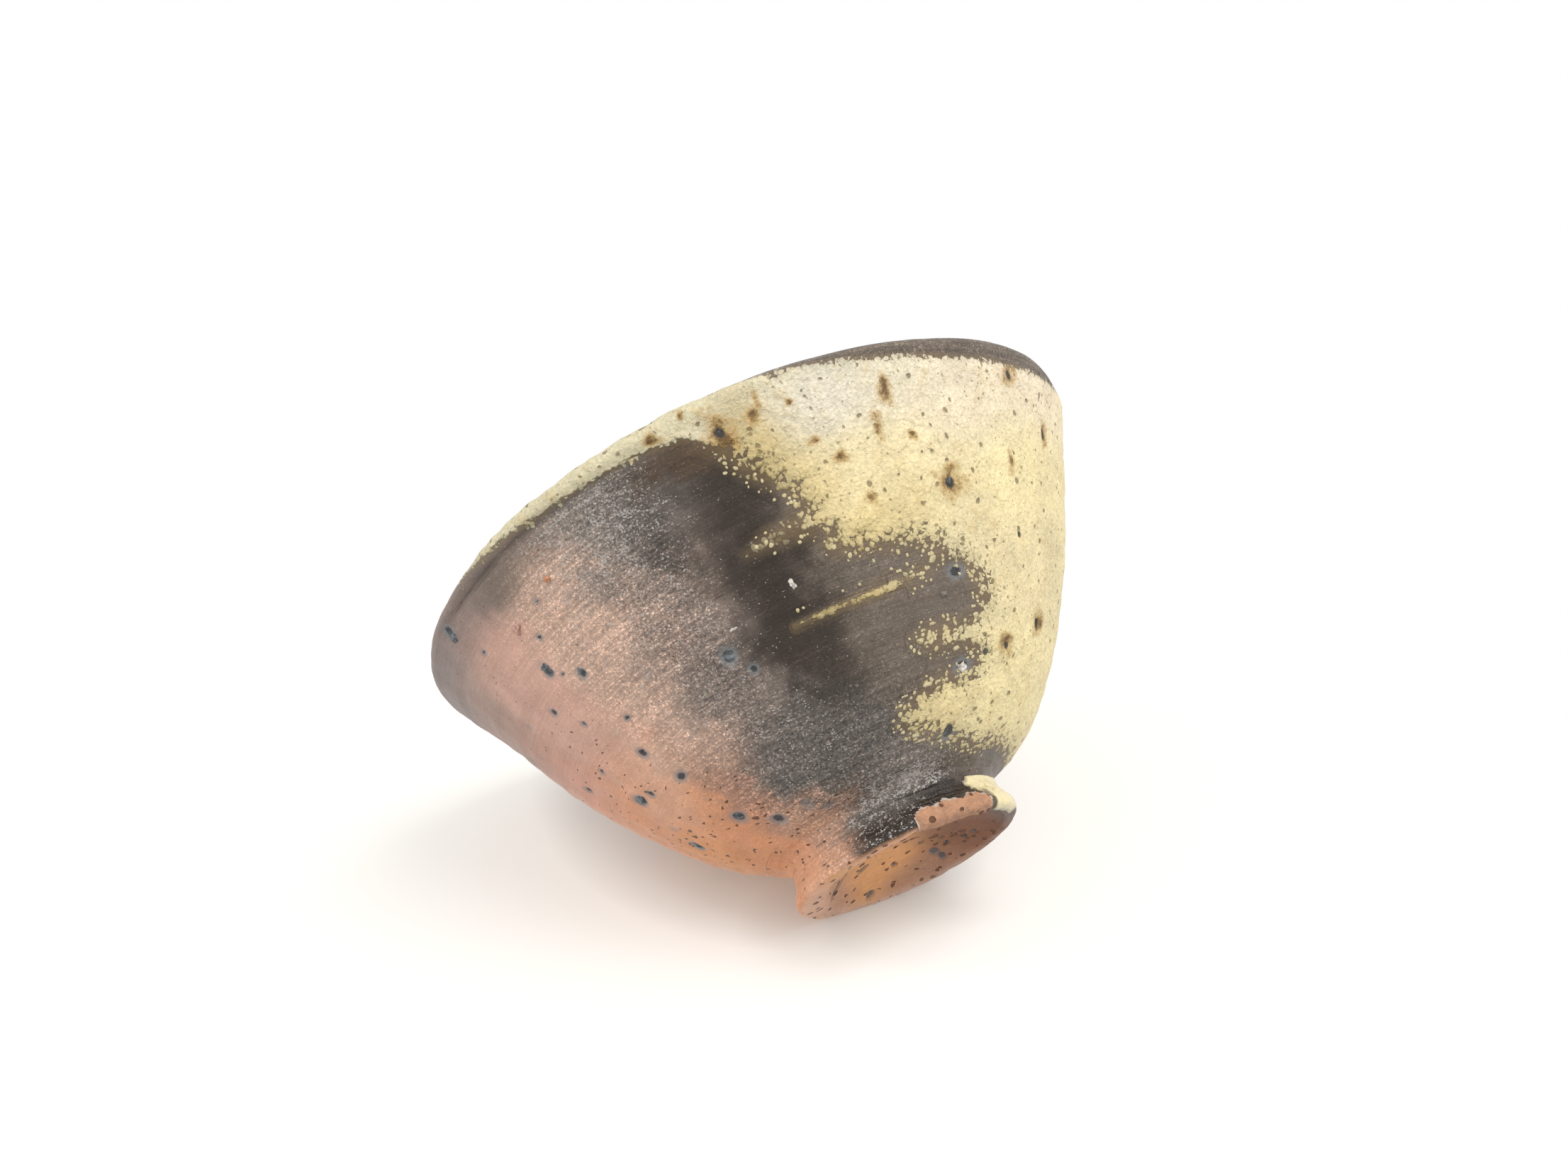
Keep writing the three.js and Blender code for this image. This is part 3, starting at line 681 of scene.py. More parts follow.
    # Ash beads about 1 mm across: they grow with the depth of ash until they join
    bead = cells(tree, bent, 0.85)
    chance = add(tree, "ShaderNodeSeparateColor", {0: bead.outputs["Color"]}).outputs[0]
    chance = ranged(tree, chance, 0, 1, -1.5, 1.5)
    depth = calc(tree, "ADD", fac["ash"], chance)
    reach = ranged(tree, depth, -0.5, 3.0, 0, 1.3)
    rise = calc(tree, "SUBTRACT", reach, bead.outputs["Distance"])
    ragged = ranged(tree, grit, 0, 1, -0.12, 0.12)
    rise = calc(tree, "ADD", rise, ragged)
    cover = ranged(tree, rise, 0, 0.1, 0, 1)

    # Sugar of about 0.6 mm in the ash, and its pits, painted dark as shade at their bottoms
    sugar = cells(tree, place, 0.62).outputs["Distance"]
    crust = ranged(tree, sugar, 0.2, 0.8, 1.05, 0.9)
    crust = calc(tree, "MULTIPLY", crust, tone)
    thin = ranged(tree, fac["ash"], -1, 4, 0.74, 1)
    crust = calc(tree, "MULTIPLY", crust, thin)
    dusty = ranged(tree, grit, 0.3, 0.6, 0.86, 1.04)
    crust = calc(tree, "MULTIPLY", crust, dusty)
    ash = add(tree, "ShaderNodeVectorMath", {
        0: kept["bloom"].outputs["Color"], "Scale": crust}, operation="SCALE").outputs[0]
    cloud = clouds(tree, place, 3, 5, 0.7).outputs["Fac"]
    tan = ranged(tree, cloud, 0.52, 0.68, 0, 0.5)
    ash = mixed(tree, tan, ash, rgba(colours.tan))
    hole_cell = cells(tree, bent, 1.5)
    hole_size = add(tree, "ShaderNodeSeparateColor", {0: hole_cell.outputs["Color"]}).outputs[0]
    hole_size = ranged(tree, hole_size, 0.4, 1, 0, 0.36)
    hole = calc(tree, "SUBTRACT", hole_size, hole_cell.outputs["Distance"])
    hole = ranged(tree, hole, 0, 0.14, 0, 0.8)
    ash = mixed(tree, hole, ash, rgba(colours.ash_pit_shade_and_speck))

    # Dark specks of half a millimetre, closest at the edge of the ash
    speck_cell = cells(tree, bent, 0.55)
    speck = add(tree, "ShaderNodeSeparateColor", {0: speck_cell.outputs["Color"]}).outputs[0]
    crowd = ranged(tree, fac["ash"], 0, 8, 0.2, 0.02)
    speck = calc(tree, "ADD", speck, crowd)
    speck = ranged(tree, speck, 0.9, 1.1, 0, 0.5)
    speck = calc(tree, "SUBTRACT", speck, speck_cell.outputs["Distance"])
    speck = ranged(tree, speck, -0.1, 0.1, 0, 0.7)
    ash = mixed(tree, speck, ash, rgba(colours.ash_pit_shade_and_speck))

    # Iron drawn into the ash, amber round a brown heart, and the thin veil of ash on bare clay
    blurred = calc(tree, "MULTIPLY_ADD", cloud, 3.4, grit)
    blurred = calc(tree, "ADD", blurred, fac["stain"])
    stained = ranged(tree, blurred, 1.85, 2.6, 0, 0.75)
    ash = mixed(tree, stained, ash, rgba(colours.amber))
    stained = ranged(tree, blurred, 2.45, 3.0, 0, 0.9)
    ash = mixed(tree, stained, ash, rgba(colours.stain))
    veil = calc(tree, "MULTIPLY_ADD", mottle, 2.4, fac["veil"])
    veil = ranged(tree, veil, -0.4, 1.8, 0, 0.5)
    clay = mixed(tree, veil, clay, rgba(colours.dun))
    colour = mixed(tree, cover, clay, ash)

    # Iron spots with their soft blue-grey rings
    spot = calc(tree, "ADD", fac["iron"], ragged)
    bare = ranged(tree, cover, 0, 1, 0.6, 0)
    halo = ranged(tree, spot, -0.3, 0.25, 0, bare)
    heart = ranged(tree, spot, 0.32, 0.55, 0, 0.9)
    colour = mixed(tree, halo, colour, rgba(colours.iron_halo))
    colour = mixed(tree, heart, colour, rgba(colours.iron))

    # Relief in millimetres
    rough_clay = ranged(tree, fac["grit"], 0, 1, 0.05, 0.2)
    relief = calc(tree, "MULTIPLY_ADD", spark, 0.6, grit)
    relief = calc(tree, "MULTIPLY", relief, rough_clay)
    showing = calc(tree, "MULTIPLY", lines_relief_and_shade, bare)
    relief = calc(tree, "MULTIPLY_ADD", showing, 0.13, relief)
    relief = calc(tree, "MULTIPLY_ADD", mottle, 0.5, relief)
    relief = calc(tree, "MULTIPLY_ADD", pit, -0.3, relief)
    dome = ranged(tree, rise, 0, 0.5, 0, 0.3)
    dome = calc(tree, "MULTIPLY_ADD", sugar, -0.1, dome)
    dome = calc(tree, "MULTIPLY_ADD", hole, -0.3, dome)
    dome = calc(tree, "MULTIPLY_ADD", cloud, 0.5, dome)
    relief = calc(tree, "MULTIPLY_ADD", dome, cover, relief)
    satin = ranged(tree, fac["gloss"], 0, 1, 0.6, 0.16)
    roughness = add(tree, "ShaderNodeMix", {0: cover, 2: satin, 3: 0.48}).outputs[0]
    surface(tree, colour, roughness, relief, 1, {"IOR": 1.5, "Specular IOR Level": 0.35})
    return material


def melted_ash(colours):
    """Drops of melted wood ash: opaque yellow, satin, slightly uneven."""
    material, tree = named_material("melted_ash")
    if tree is None:
        return material
    place = add(tree, "ShaderNodeTexCoord").outputs["Object"]
    cloud = clouds(tree, place, 0.8, 2).outputs["Fac"]
    ramp = mixed(tree, cloud, rgba(colours.ochre), rgba(colours.lichen))
    surface(tree, ramp, 0.42, cloud, 0.1)
    return material


def broken_wad_clay(colours):
    """Clay of the kiln wad torn off the foot: matte, pink, crumbly, with pale edges and small holes painted
    dark as shade.
    """
    material, tree = named_material("broken_wad_clay")
    if tree is None:
        return material
    place = add(tree, "ShaderNodeTexCoord").outputs["Object"]
    crumb = clouds(tree, place, 1.5, 6, 0.75).outputs["Fac"]
    pale = ranged(tree, crumb, 0.3, 0.6, 0, 1)
    colour = mixed(tree, pale, rgba(colours.rust), rgba(colours.scar))
    edge = add(tree, "ShaderNodeAttribute", attribute_name="depth").outputs["Fac"]
    edge = calc(tree, "ADD", edge, crumb)
    edge = ranged(tree, edge, 0.95, 0.6, 0, 0.8)
    colour = mixed(tree, edge, colour, rgba(colours.feldspar))
    cell = cells(tree, place, 1.2)
    wide = add(tree, "ShaderNodeSeparateColor", {0: cell.outputs["Color"]}).outputs[0]
    wide = ranged(tree, wide, 0.25, 1, 0, 0.5)
    hole = calc(tree, "SUBTRACT", wide, cell.outputs["Distance"])
    hole = ranged(tree, hole, 0, 0.08, 0, 0.9)
    colour = mixed(tree, hole, colour, rgba(colours.pit))
    relief = calc(tree, "MULTIPLY_ADD", hole, -0.8, crumb)
    surface(tree, colour, 0.8, relief, 0.9)
    return material


def ash_glass(colours):
    """Wood ash melted to a glassy run: yellow-green, grey where it is thin, with a wet shine."""
    material, tree = named_material("ash_glass")
    if tree is None:
        return material
    place = add(tree, "ShaderNodeTexCoord").outputs["Object"]
    cloud = clouds(tree, place, 1.6, 5, 0.7).outputs["Fac"]
    deep = add(tree, "ShaderNodeAttribute", attribute_name="depth").outputs["Fac"]
    deep = calc(tree, "ADD", deep, cloud)
    mix = ranged(tree, deep, 0.4, 1.3, 0, 1)
    colour = mixed(tree, mix, rgba(colours.bark), rgba(colours.glass))
    surface(tree, colour, 0.22, cloud, 0.25, {"IOR": 1.52})
    return material


def iron_slag(colours):
    """Iron that melted out of the clay: nearly black, glassy, puckered."""
    material, tree = named_material("iron_slag")
    if tree is None:
        return material
    place = add(tree, "ShaderNodeTexCoord").outputs["Object"]
    pucker = clouds(tree, place, 0.7, 3).outputs["Fac"]
    mix = ranged(tree, pucker, 0.4, 0.75, 0, 1)
    colour = mixed(tree, mix, rgba(colours.iron), rgba(colours.iron_halo))
    surface(tree, colour, 0.3, pucker, 0.3)
    return material


def burst_feldspar(colours):
    """Feldspar that burst through the clay: milky, crystalline, with a dull shine."""
    material, tree = named_material("burst_feldspar")
    if tree is None:
        return material
    place = add(tree, "ShaderNodeTexCoord").outputs["Object"]
    tone = add(tree, "ShaderNodeAttribute", attribute_name="tone").outputs["Color"]
    cell = cells(tree, place, 0.6).outputs["Distance"]
    level = ranged(tree, cell, 0.1, 0.8, 1.1, 0.55)
    colour = add(tree, "ShaderNodeVectorMath", {0: tone, "Scale": level}, operation="SCALE").outputs[0]
    surface(tree, colour, 0.4, cell, 0.3)
    return material


class BOWL_OT_wall(bpy.types.Operator):
    """Spin the wall, press its throwing rings and groove into it, paint what the flame did and paint shade
    along the groove
    """
    bl_idname = "bowl.wall"
    bl_label = "Thrown wall"

    # Depths of its throwing rings, of the groove under the lip and of the dents at iron spots
    WIDE_RING = 0.06
    FINE_RING = 0.04
    GROOVE_DEPTH = 0.5
    DENT_DEPTH = 0.25
    COOL_SIDE = -95

    def execute(self, context):
        size, colours = in_mm(context.scene.bowl_sizes), context.scene.bowl_colours
        outline, top = wall_outline(size)
        piece = turned("bowl_wall_thrown", outline, size.wall_sides)
        chart = charted(piece)
        lip_run = run_of(outline)[top]
        inside = chart.run > lip_run + 1
        down = lip_run - chart.run
        swing = np.radians(chart.angle)
        shown = rising(chart.radius, size.neck_radius, size.neck_radius + 4) * ~inside
        rings = self.WIDE_RING * np.sin(chart.run * 1.46 + 0.8 * np.sin(swing))
        rings += self.FINE_RING * np.sin(chart.run * 2.42 + np.cos(swing))
        along_groove = rising(chart.angle, -62, -46) * rising(-chart.angle, -3, 5) * ~inside
        below = 0.02 * (chart.angle + 30)
        groove = -self.GROOVE_DEPTH * hump(down, 4.1 + below, 0.9) * along_groove
        cool = hump(turn_from(chart.angle, self.COOL_SIDE), 0, 38)
        out_of_round = cool * (1.1 * rising(chart.height, 46, 58) - 0.8 * hump(chart.height, 17, 9))
        uneven = 0.25 * lumps(chart.at, 14)
        uneven += 0.12 * lumps(chart.at, 3.2, 1) * (0.4 + cool * (chart.height < 26))
        dents = -self.DENT_DEPTH * np.clip(spotted(IRON_SPOTS, chart) * 2, 0, 1)
        heights, runs = outline[:top + 1, 1], run_of(outline)[:top + 1]
        laid = [(a * MM_PER_DEGREE, np.interp(h, heights[6:], runs[6:])) for a, h in ASH_OUTLINE]
        ash = np.clip(inside_by(laid, chart.angle * MM_PER_DEGREE, chart.run), FAR, -FAR)
        rings *= 1 - 0.7 * rising(ash, 0, 3)
        lift = shown * (rings + groove + out_of_round + uneven + dents)
        lift = np.where(inside, 0.12 * np.sin(chart.run * 1.1), lift)
        press(piece, chart.at + lift[:, None] * chart.out)
        streak = (chart.height < 30) & (chart.height > 27) & (chart.angle < 25)
        veil = np.where(inside, FAR, np.where(streak | (chart.height > 54), ash * 2.5, ash))
        band = (chart.height > 53) & (chart.angle < 12) & (ash > 0)
        fine = 1 + 2.5 * rising(chart.height, 53, 55.5) * rising(chart.angle, 8, 18)
        ash = np.where(streak, ash * 5, np.where(band, ash * 6, ash * fine))
        haze = -2.4 + 1.9 * hump(turn_from(chart.angle, -90), 0, 60) * hump(chart.height, 30, 22)
        fire(piece, chart, colours, inside, np.where(inside, np.maximum(haze, ash), ash), veil)
        # Painted shade: a dark line painted along the groove under the lip, where shade falls
        line = hump(down, 4.0 + below, 0.55) * along_groove * (0.75 + 0.4 * lumps(chart.at, 5, 12))
        retouch(piece, "flash", colours.dusk, 0.85 * line)
        smooth = rising(-down, -5, -3.8) * along_groove
        retouch(piece, "grit", 0.12, smooth)
        retouch(piece, "painted_glint_share", 0.0, smooth)
        dress(piece, "fired_clay", wood_fired_stoneware(colours), "bowl_wall")
        return {"FINISHED"}


def copy_of(piece, name):
    """A copy of a piece with its own mesh, alone and selected."""
    bpy.ops.object.select_all(action="DESELECT")
    made = piece.copy()
    made.data = piece.data.copy()
    made.name = made.data.name = name
    for key in list(made.keys()):
        del made[key]
    bpy.context.collection.objects.link(made)
    made.select_set(True)
    bpy.context.view_layer.objects.active = made
    return made


def keep_faces(piece, kept):
    """Deletes the faces of a piece that aren't kept."""
    mesh = piece.data
    mesh.vertices.foreach_set("select", np.zeros(len(mesh.vertices), bool))
    mesh.edges.foreach_set("select", np.zeros(len(mesh.edges), bool))
    mesh.polygons.foreach_set("select", ~kept)
    bpy.ops.object.mode_set(mode="EDIT")
    bpy.ops.mesh.select_mode(type="FACE")
    bpy.ops.mesh.delete(type="FACE")
    bpy.ops.object.mode_set(mode="OBJECT")


def lowest_of_faces(mesh, values):
    """The lowest value among each face's corners."""
    corner = values[read(mesh.loops, "vertex_index", 1).astype(int)]
    return np.minimum.reduceat(corner, read(mesh.polygons, "loop_start", 1).astype(int))


def raise_skin(piece, weights, thickness):
    """Gives an open skin its thickness outwards, as much at each point as its weight says."""
    group = piece.vertex_groups.new(name="thickness")
    for i, weight in enumerate(np.clip(weights, 0.03, 1)):
        group.add([i], weight, "REPLACE")
    skin = piece.modifiers.new("thickness", "SOLIDIFY")
    skin.thickness = thickness * MM
    skin.offset = 0.9
    skin.vertex_group = group.name
    skin.thickness_vertex_group = 0.02
    bpy.ops.object.modifier_apply(modifier=skin.name)
    bpy.ops.object.shade_smooth_by_angle(angle=math.radians(60))


def foot_outline(size):
    """The foot's outline: the dish of its recess, its land, its side, and its top inside the bowl."""
    reach = np.linspace(0, 1, 64)
    dish = np.stack([reach * size.recess_radius, size.recess_depth * (1 - reach ** 3.6) + 0.25 * reach], 1)
    flat, rim, neck = size.land_radius, size.flare_radius, size.neck_radius
    land = bezier(dish[-1], (size.recess_radius + 0.5, -0.05), (flat - 1.2, 0), (flat - 0.8, 0))
    toe = bezier((flat - 0.8, 0), (flat + 0.3, 0), (rim, 0.2), (rim, 0.9))
    side = bezier((rim, 0.9), (rim, 2.4), (neck - 0.4, 3.6), (neck - 0.1, 5.8))
    top = np.array([(neck, 7.4), (neck - 3, 6.4), (8, 5.0), (0, 4.7)])
    parts = [dish, spaced(land, 0.35)[1:], spaced(toe, FOOT_STEP)[1:], spaced(side, FOOT_STEP)[1:], top]
    return np.concatenate(parts)


class BOWL_OT_foot(bpy.types.Operator):
    """Spin the foot, push its recess off centre and paint it"""
    bl_idname = "bowl.foot"
    bl_label = "Foot"

    def execute(self, context):
        size, colours = in_mm(context.scene.bowl_sizes), context.scene.bowl_colours
        piece = turned("foot_ring_turned", foot_outline(size), size.foot_sides)
        chart = charted(piece)
        under = chart.run < size.recess_radius + 3.4
        at = chart.at.copy()
        shift = np.where(under, size.recess_offset * rising(-chart.radius, -17.6, -15.1), 0)
        at[:, :2] += shift[:, None] * (1, -0.6)
        slots = np.full(len(at), NO_SPOT)
        for x, y, long, wide, turn in RECESS_SLOTS:
            c, s = math.cos(math.radians(turn)), math.sin(math.radians(turn))
            dx, dy = at[:, 0] - x, at[:, 1] - y
            slots = np.maximum(slots, 1 - np.hypot((dx * c + dy * s) / long, (dy * c - dx * s) / wide))
        slots = np.where(under, np.minimum(slots * 2.5, 0.45), NO_SPOT)
        chips = hump(turn_from(chart.angle, 10), 0, 6) * hump(chart.radius, 16, 1.2) * (chart.height < 2)
        lift = 0.16 * lumps(chart.at, 5, 3) + 0.1 * lumps(chart.at, 1.6, 4)
        lift -= 0.9 * np.clip(slots, 0, 1) + 0.5 * chips
        press(piece, at + lift[:, None] * chart.out)
        fire(piece, chart, colours)
        side = rising(chart.height, 0.05, 0.45) * (~under | (chart.radius > 17.6))
        retouch(piece, "flash", toned(UNDER_TONES, colours, at[:, 0], at[:, 1]), 1 - side)
        for name, value in (("grit", 0.1), ("gloss", 0.15), ("pits", 1.3), ("painted_glint_share", 0)):
            retouch(piece, name, value, 1 - side)
        retouch(piece, "iron", slots, under.astype(float))
        dress(piece, "foot_clay", wood_fired_stoneware(colours), "foot_ring")
        return {"FINISHED"}


class BOWL_OT_slip(bpy.types.Operator):
    """Spin the bead of slip smoothed into the corner between foot and belly"""
    bl_idname = "bowl.slip"
    bl_label = "Luting slip"

    def execute(self, context):
        size, colours = in_mm(context.scene.bowl_sizes), context.scene.bowl_colours
        wall = wall_outline(size)[0]
        belly = wall[:np.argmax(wall[:, 0])]
        on_belly = [(r, np.interp(r, belly[:, 0], belly[:, 1])) for r in (20.6, 19.6, 18)]
        (far, far_z), (mid, mid_z), (near, near_z) = on_belly
        neck = size.neck_radius
        face = bezier((neck - 0.1, 5.6), (neck, 7.3), (mid - 1.2, mid_z - 0.4), (far, far_z - 0.02))
        inner = np.array([(mid, mid_z + 0.5), (near, near_z + 0.5), (neck - 0.6, 6.6), (neck - 0.5, 5.8)])
        outline = np.concatenate([spaced(face, FOOT_STEP), inner, face[:1]])
        piece = turned("luting_slip_smoothed", outline, size.foot_sides)
        chart = charted(piece)
        shown = np.clip(1 - np.abs(chart.radius - 18.7) / 1.6, 0, 1)
        press(piece, chart.at + (shown * 0.3 * lumps(chart.at, 2.6, 5))[:, None] * chart.out)
        fire(piece, chart, colours)
        dress(piece, "slip", wood_fired_stoneware(colours), "luting_slip")
        return {"FINISHED"}


class BOWL_OT_foot_marks(bpy.types.Operator):
    """Raise the wad's scar and the run of ash off the foot"""
    bl_idname = "bowl.foot_marks"
    bl_label = "Scar and run on the foot"

    def execute(self, context):
        colours = context.scene.bowl_colours
        foot = bpy.data.objects["foot_ring_turned"]
        chart = charted(foot)
        outer = (chart.radius > 16.3) & (chart.run > 15)
        for name, slot, node, material, outline, thickness in (
                ("wad_scar_broken", "wad_clay", "wad_scar", broken_wad_clay, SCAR_OUTLINE, 0.45),
                ("foot_ash_melted", "ash_run", "foot_ash_run", ash_glass, RUN_OUTLINE, 0.4)):
            laid = [(a * FOOT_MM_PER_DEGREE, h) for a, h in outline]
            depth = inside_by(laid, chart.angle * FOOT_MM_PER_DEGREE, chart.height)
            torn = 0.55 * lumps(chart.at, 1.1, 6) + 0.5 * lumps(chart.at, 2.6, 10)
            depth = np.where(outer, depth + torn, FAR)
            if node == "foot_ash_run":
                depth = np.minimum(depth, chart.radius - 17.3 + chart.height)
            piece = copy_of(foot, name)
            paint(piece, "depth", depth)
            keep_faces(piece, lowest_of_faces(foot.data, depth) > -0.05)
            place = charted(piece)
            deep = read(piece.data.attributes["depth"].data, "value", 1)
            rough = 0.65 + 0.6 * lumps(place.at, 0.8, 7)
            raise_skin(piece, np.clip(0.4 + deep / 0.25, 0.1, 1) * rough, thickness)
            dress(piece, slot, material(colours), node)
        return {"FINISHED"}


def nearest_on(chart, place):
    """Number of the point of a chart that lies nearest to a place of the frame."""
    return int(np.argmin(((chart.at - np.array(place) / MM) ** 2).sum(1)))


def stand_on(piece, at, out):
    """Turns a piece modelled at the origin to stand on a surface."""
    out = Vector(out).normalized()
    along = Vector((0, 0, 1)).cross(out).normalized()
    turn = np.array([along, out.cross(along), out])
    press(piece, read(piece.data.vertices, "co", 3) / MM @ turn + at)


class BOWL_OT_inclusions(bpy.types.Operator):
    """Set the iron beads and the feldspar stones into the wall"""
    bl_idname = "bowl.inclusions"
    bl_label = "Iron beads and stones"

    def execute(self, context):
        colours = context.scene.bowl_colours
        chart = charted(bpy.data.objects["bowl_wall_thrown"])
        for node in sorted(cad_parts):
            if not node.startswith(("iron_bead", "feldspar_stone")):
                continue
            low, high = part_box(node)
            i = nearest_on(chart, (low + high) / 2)
            radius = min(high - low) / MM / 2
            make = self.bead if node.startswith("iron") else self.stone
            piece = make(node, radius, colours)
            stand_on(piece, chart.at[i], chart.out[i])
        return {"FINISHED"}

    def bead(self, node, radius, colours):
        """A puckered blister with a low ring round it."""
        piece = turned(f"{node}_slag", np.array(BEAD_OUTLINE) * radius, BEAD_SIDES)
        chart = charted(piece)
        seed = int(node[-2:])
        press(piece, chart.at * (1 + 0.25 * lumps(chart.at, 0.8 * radius, seed))[:, None])
        dress(piece, "iron", iron_slag(colours), node)
        return piece

    def stone(self, node, radius, colours):
        """A burst lump, drawn out along the wall or across it."""
        tone, along, across = STONES[int(node[-2:]) - 1]
        bpy.ops.object.select_all(action="DESELECT")
        bpy.ops.mesh.primitive_ico_sphere_add(subdivisions=3, radius=0.6 * radius * MM)
        piece = bpy.context.object
        piece.name = piece.data.name = f"{node}_burst"
        at = read(piece.data.vertices, "co", 3) / MM
        at *= (1 + 0.9 * lumps(at, 0.5 * radius, int(node[-2:])))[:, None]
        press(piece, at * (along, across, 0.5))
        bpy.ops.object.shade_smooth()
        paint(piece, "tone", np.tile(np.array(getattr(colours, tone)), (len(at), 1)))
        dress(piece, "feldspar", burst_feldspar(colours), node)
        return piece


class BOWL_OT_ash(bpy.types.Operator):
    """Raise the ash off the wall: its coat, the band along the lip and the beads along its edge"""
    bl_idname = "bowl.ash"
    bl_label = "Natural ash"

    def execute(self, context):
        size, colours = in_mm(context.scene.bowl_sizes), context.scene.bowl_colours
        wall = bpy.data.objects["bowl_wall_thrown"]
        chart = charted(wall)
        ash = read(wall.data.attributes["ash"].data, "value", 1)
        lip_run = chart.run[np.argmax(chart.height)]
        laid = np.where(chart.run < lip_run + 1, ash, FAR)
        low = lowest_of_faces(wall.data, laid) > -2.4
        first = lowest_of_faces(wall.data, chart.angle)
        for name, node, kept in (
                ("ash_coat_melted", "ash_coat", low & (first >= BAND_END)),
                ("lip_ash_melted", "lip_ash_band", low & (first < BAND_END))):
            coat = copy_of(wall, name)
            keep_faces(coat, kept)
            place = charted(coat)
            depth = read(coat.data.attributes["ash"].data, "value", 1)
            swell = 0.75 + 0.5 * lumps(place.at, 2.2, 2)
            thick = rising(depth, -1.2, 1.8) * swell * (0.45 + 0.55 * rising(depth, 0, 6)) + 0.07
            raise_skin(coat, thick, size.ash_thickness)
            dress(coat, "ash_glaze", wood_fired_stoneware(colours), node)
        self.add_beads(colours, chart, laid)
        return {"FINISHED"}

    def add_beads(self, colours, chart, laid):
        """Beads of ash that lie apart along the edge of the coat."""
        pick = random.Random(11)
        bpy.ops.object.select_all(action="DESELECT")
        bpy.ops.mesh.primitive_ico_sphere_add(subdivisions=2, radius=0.5 * MM)
        piece = bpy.context.object
        piece.name = piece.data.name = "ash_edge_beads"
        ball = read(piece.data.vertices, "co", 3) / MM
        faces = read(piece.data.loops, "vertex_index", 1).astype(int).reshape(-1, 3)
        streak = (abs(chart.height - 28.6) < 1.2) & (chart.angle < 24)
        edge = (laid > -1.6) & (laid < 0.9)
        near = np.flatnonzero(edge & (chart.angle < 62) & (chart.angle > 0) & (chart.height < 51) & ~streak)
        at, corners = [], []
        for _ in range(EDGE_BEADS):
            i = pick.choice(near)
            wide = pick.uniform(0.35, 0.75) * (1.0 if laid[i] > -0.6 else 0.75)
            out = Vector(chart.out[i])
            side = out.orthogonal().normalized()
            frame_of = np.array([side, out.cross(side), out]).T
            shape = ball * (wide * pick.uniform(0.8, 1.5), wide, wide * 0.4)
            shape *= 1 + 0.14 * np.array([pick.uniform(-1, 1) for _ in ball])[:, None]
            spin = pick.uniform(0, math.pi)
            c, s = math.cos(spin), math.sin(spin)
            turn = np.array([[c, -s, 0], [s, c, 0], [0, 0, 1]])
            corners.append(faces + len(at) * len(ball))
            at.append((shape @ turn.T) @ frame_of.T + chart.at[i] + 0.08 * chart.out[i])
        mesh = bpy.data.meshes.new("ash_edge_beads")
        mesh.from_pydata((np.concatenate(at) * MM).tolist(), [], np.concatenate(corners).tolist())
        mesh.polygons.foreach_set("use_smooth", np.ones(len(mesh.polygons), bool))
        piece.data = mesh
        dress(piece, "ash_glaze", melted_ash(colours))


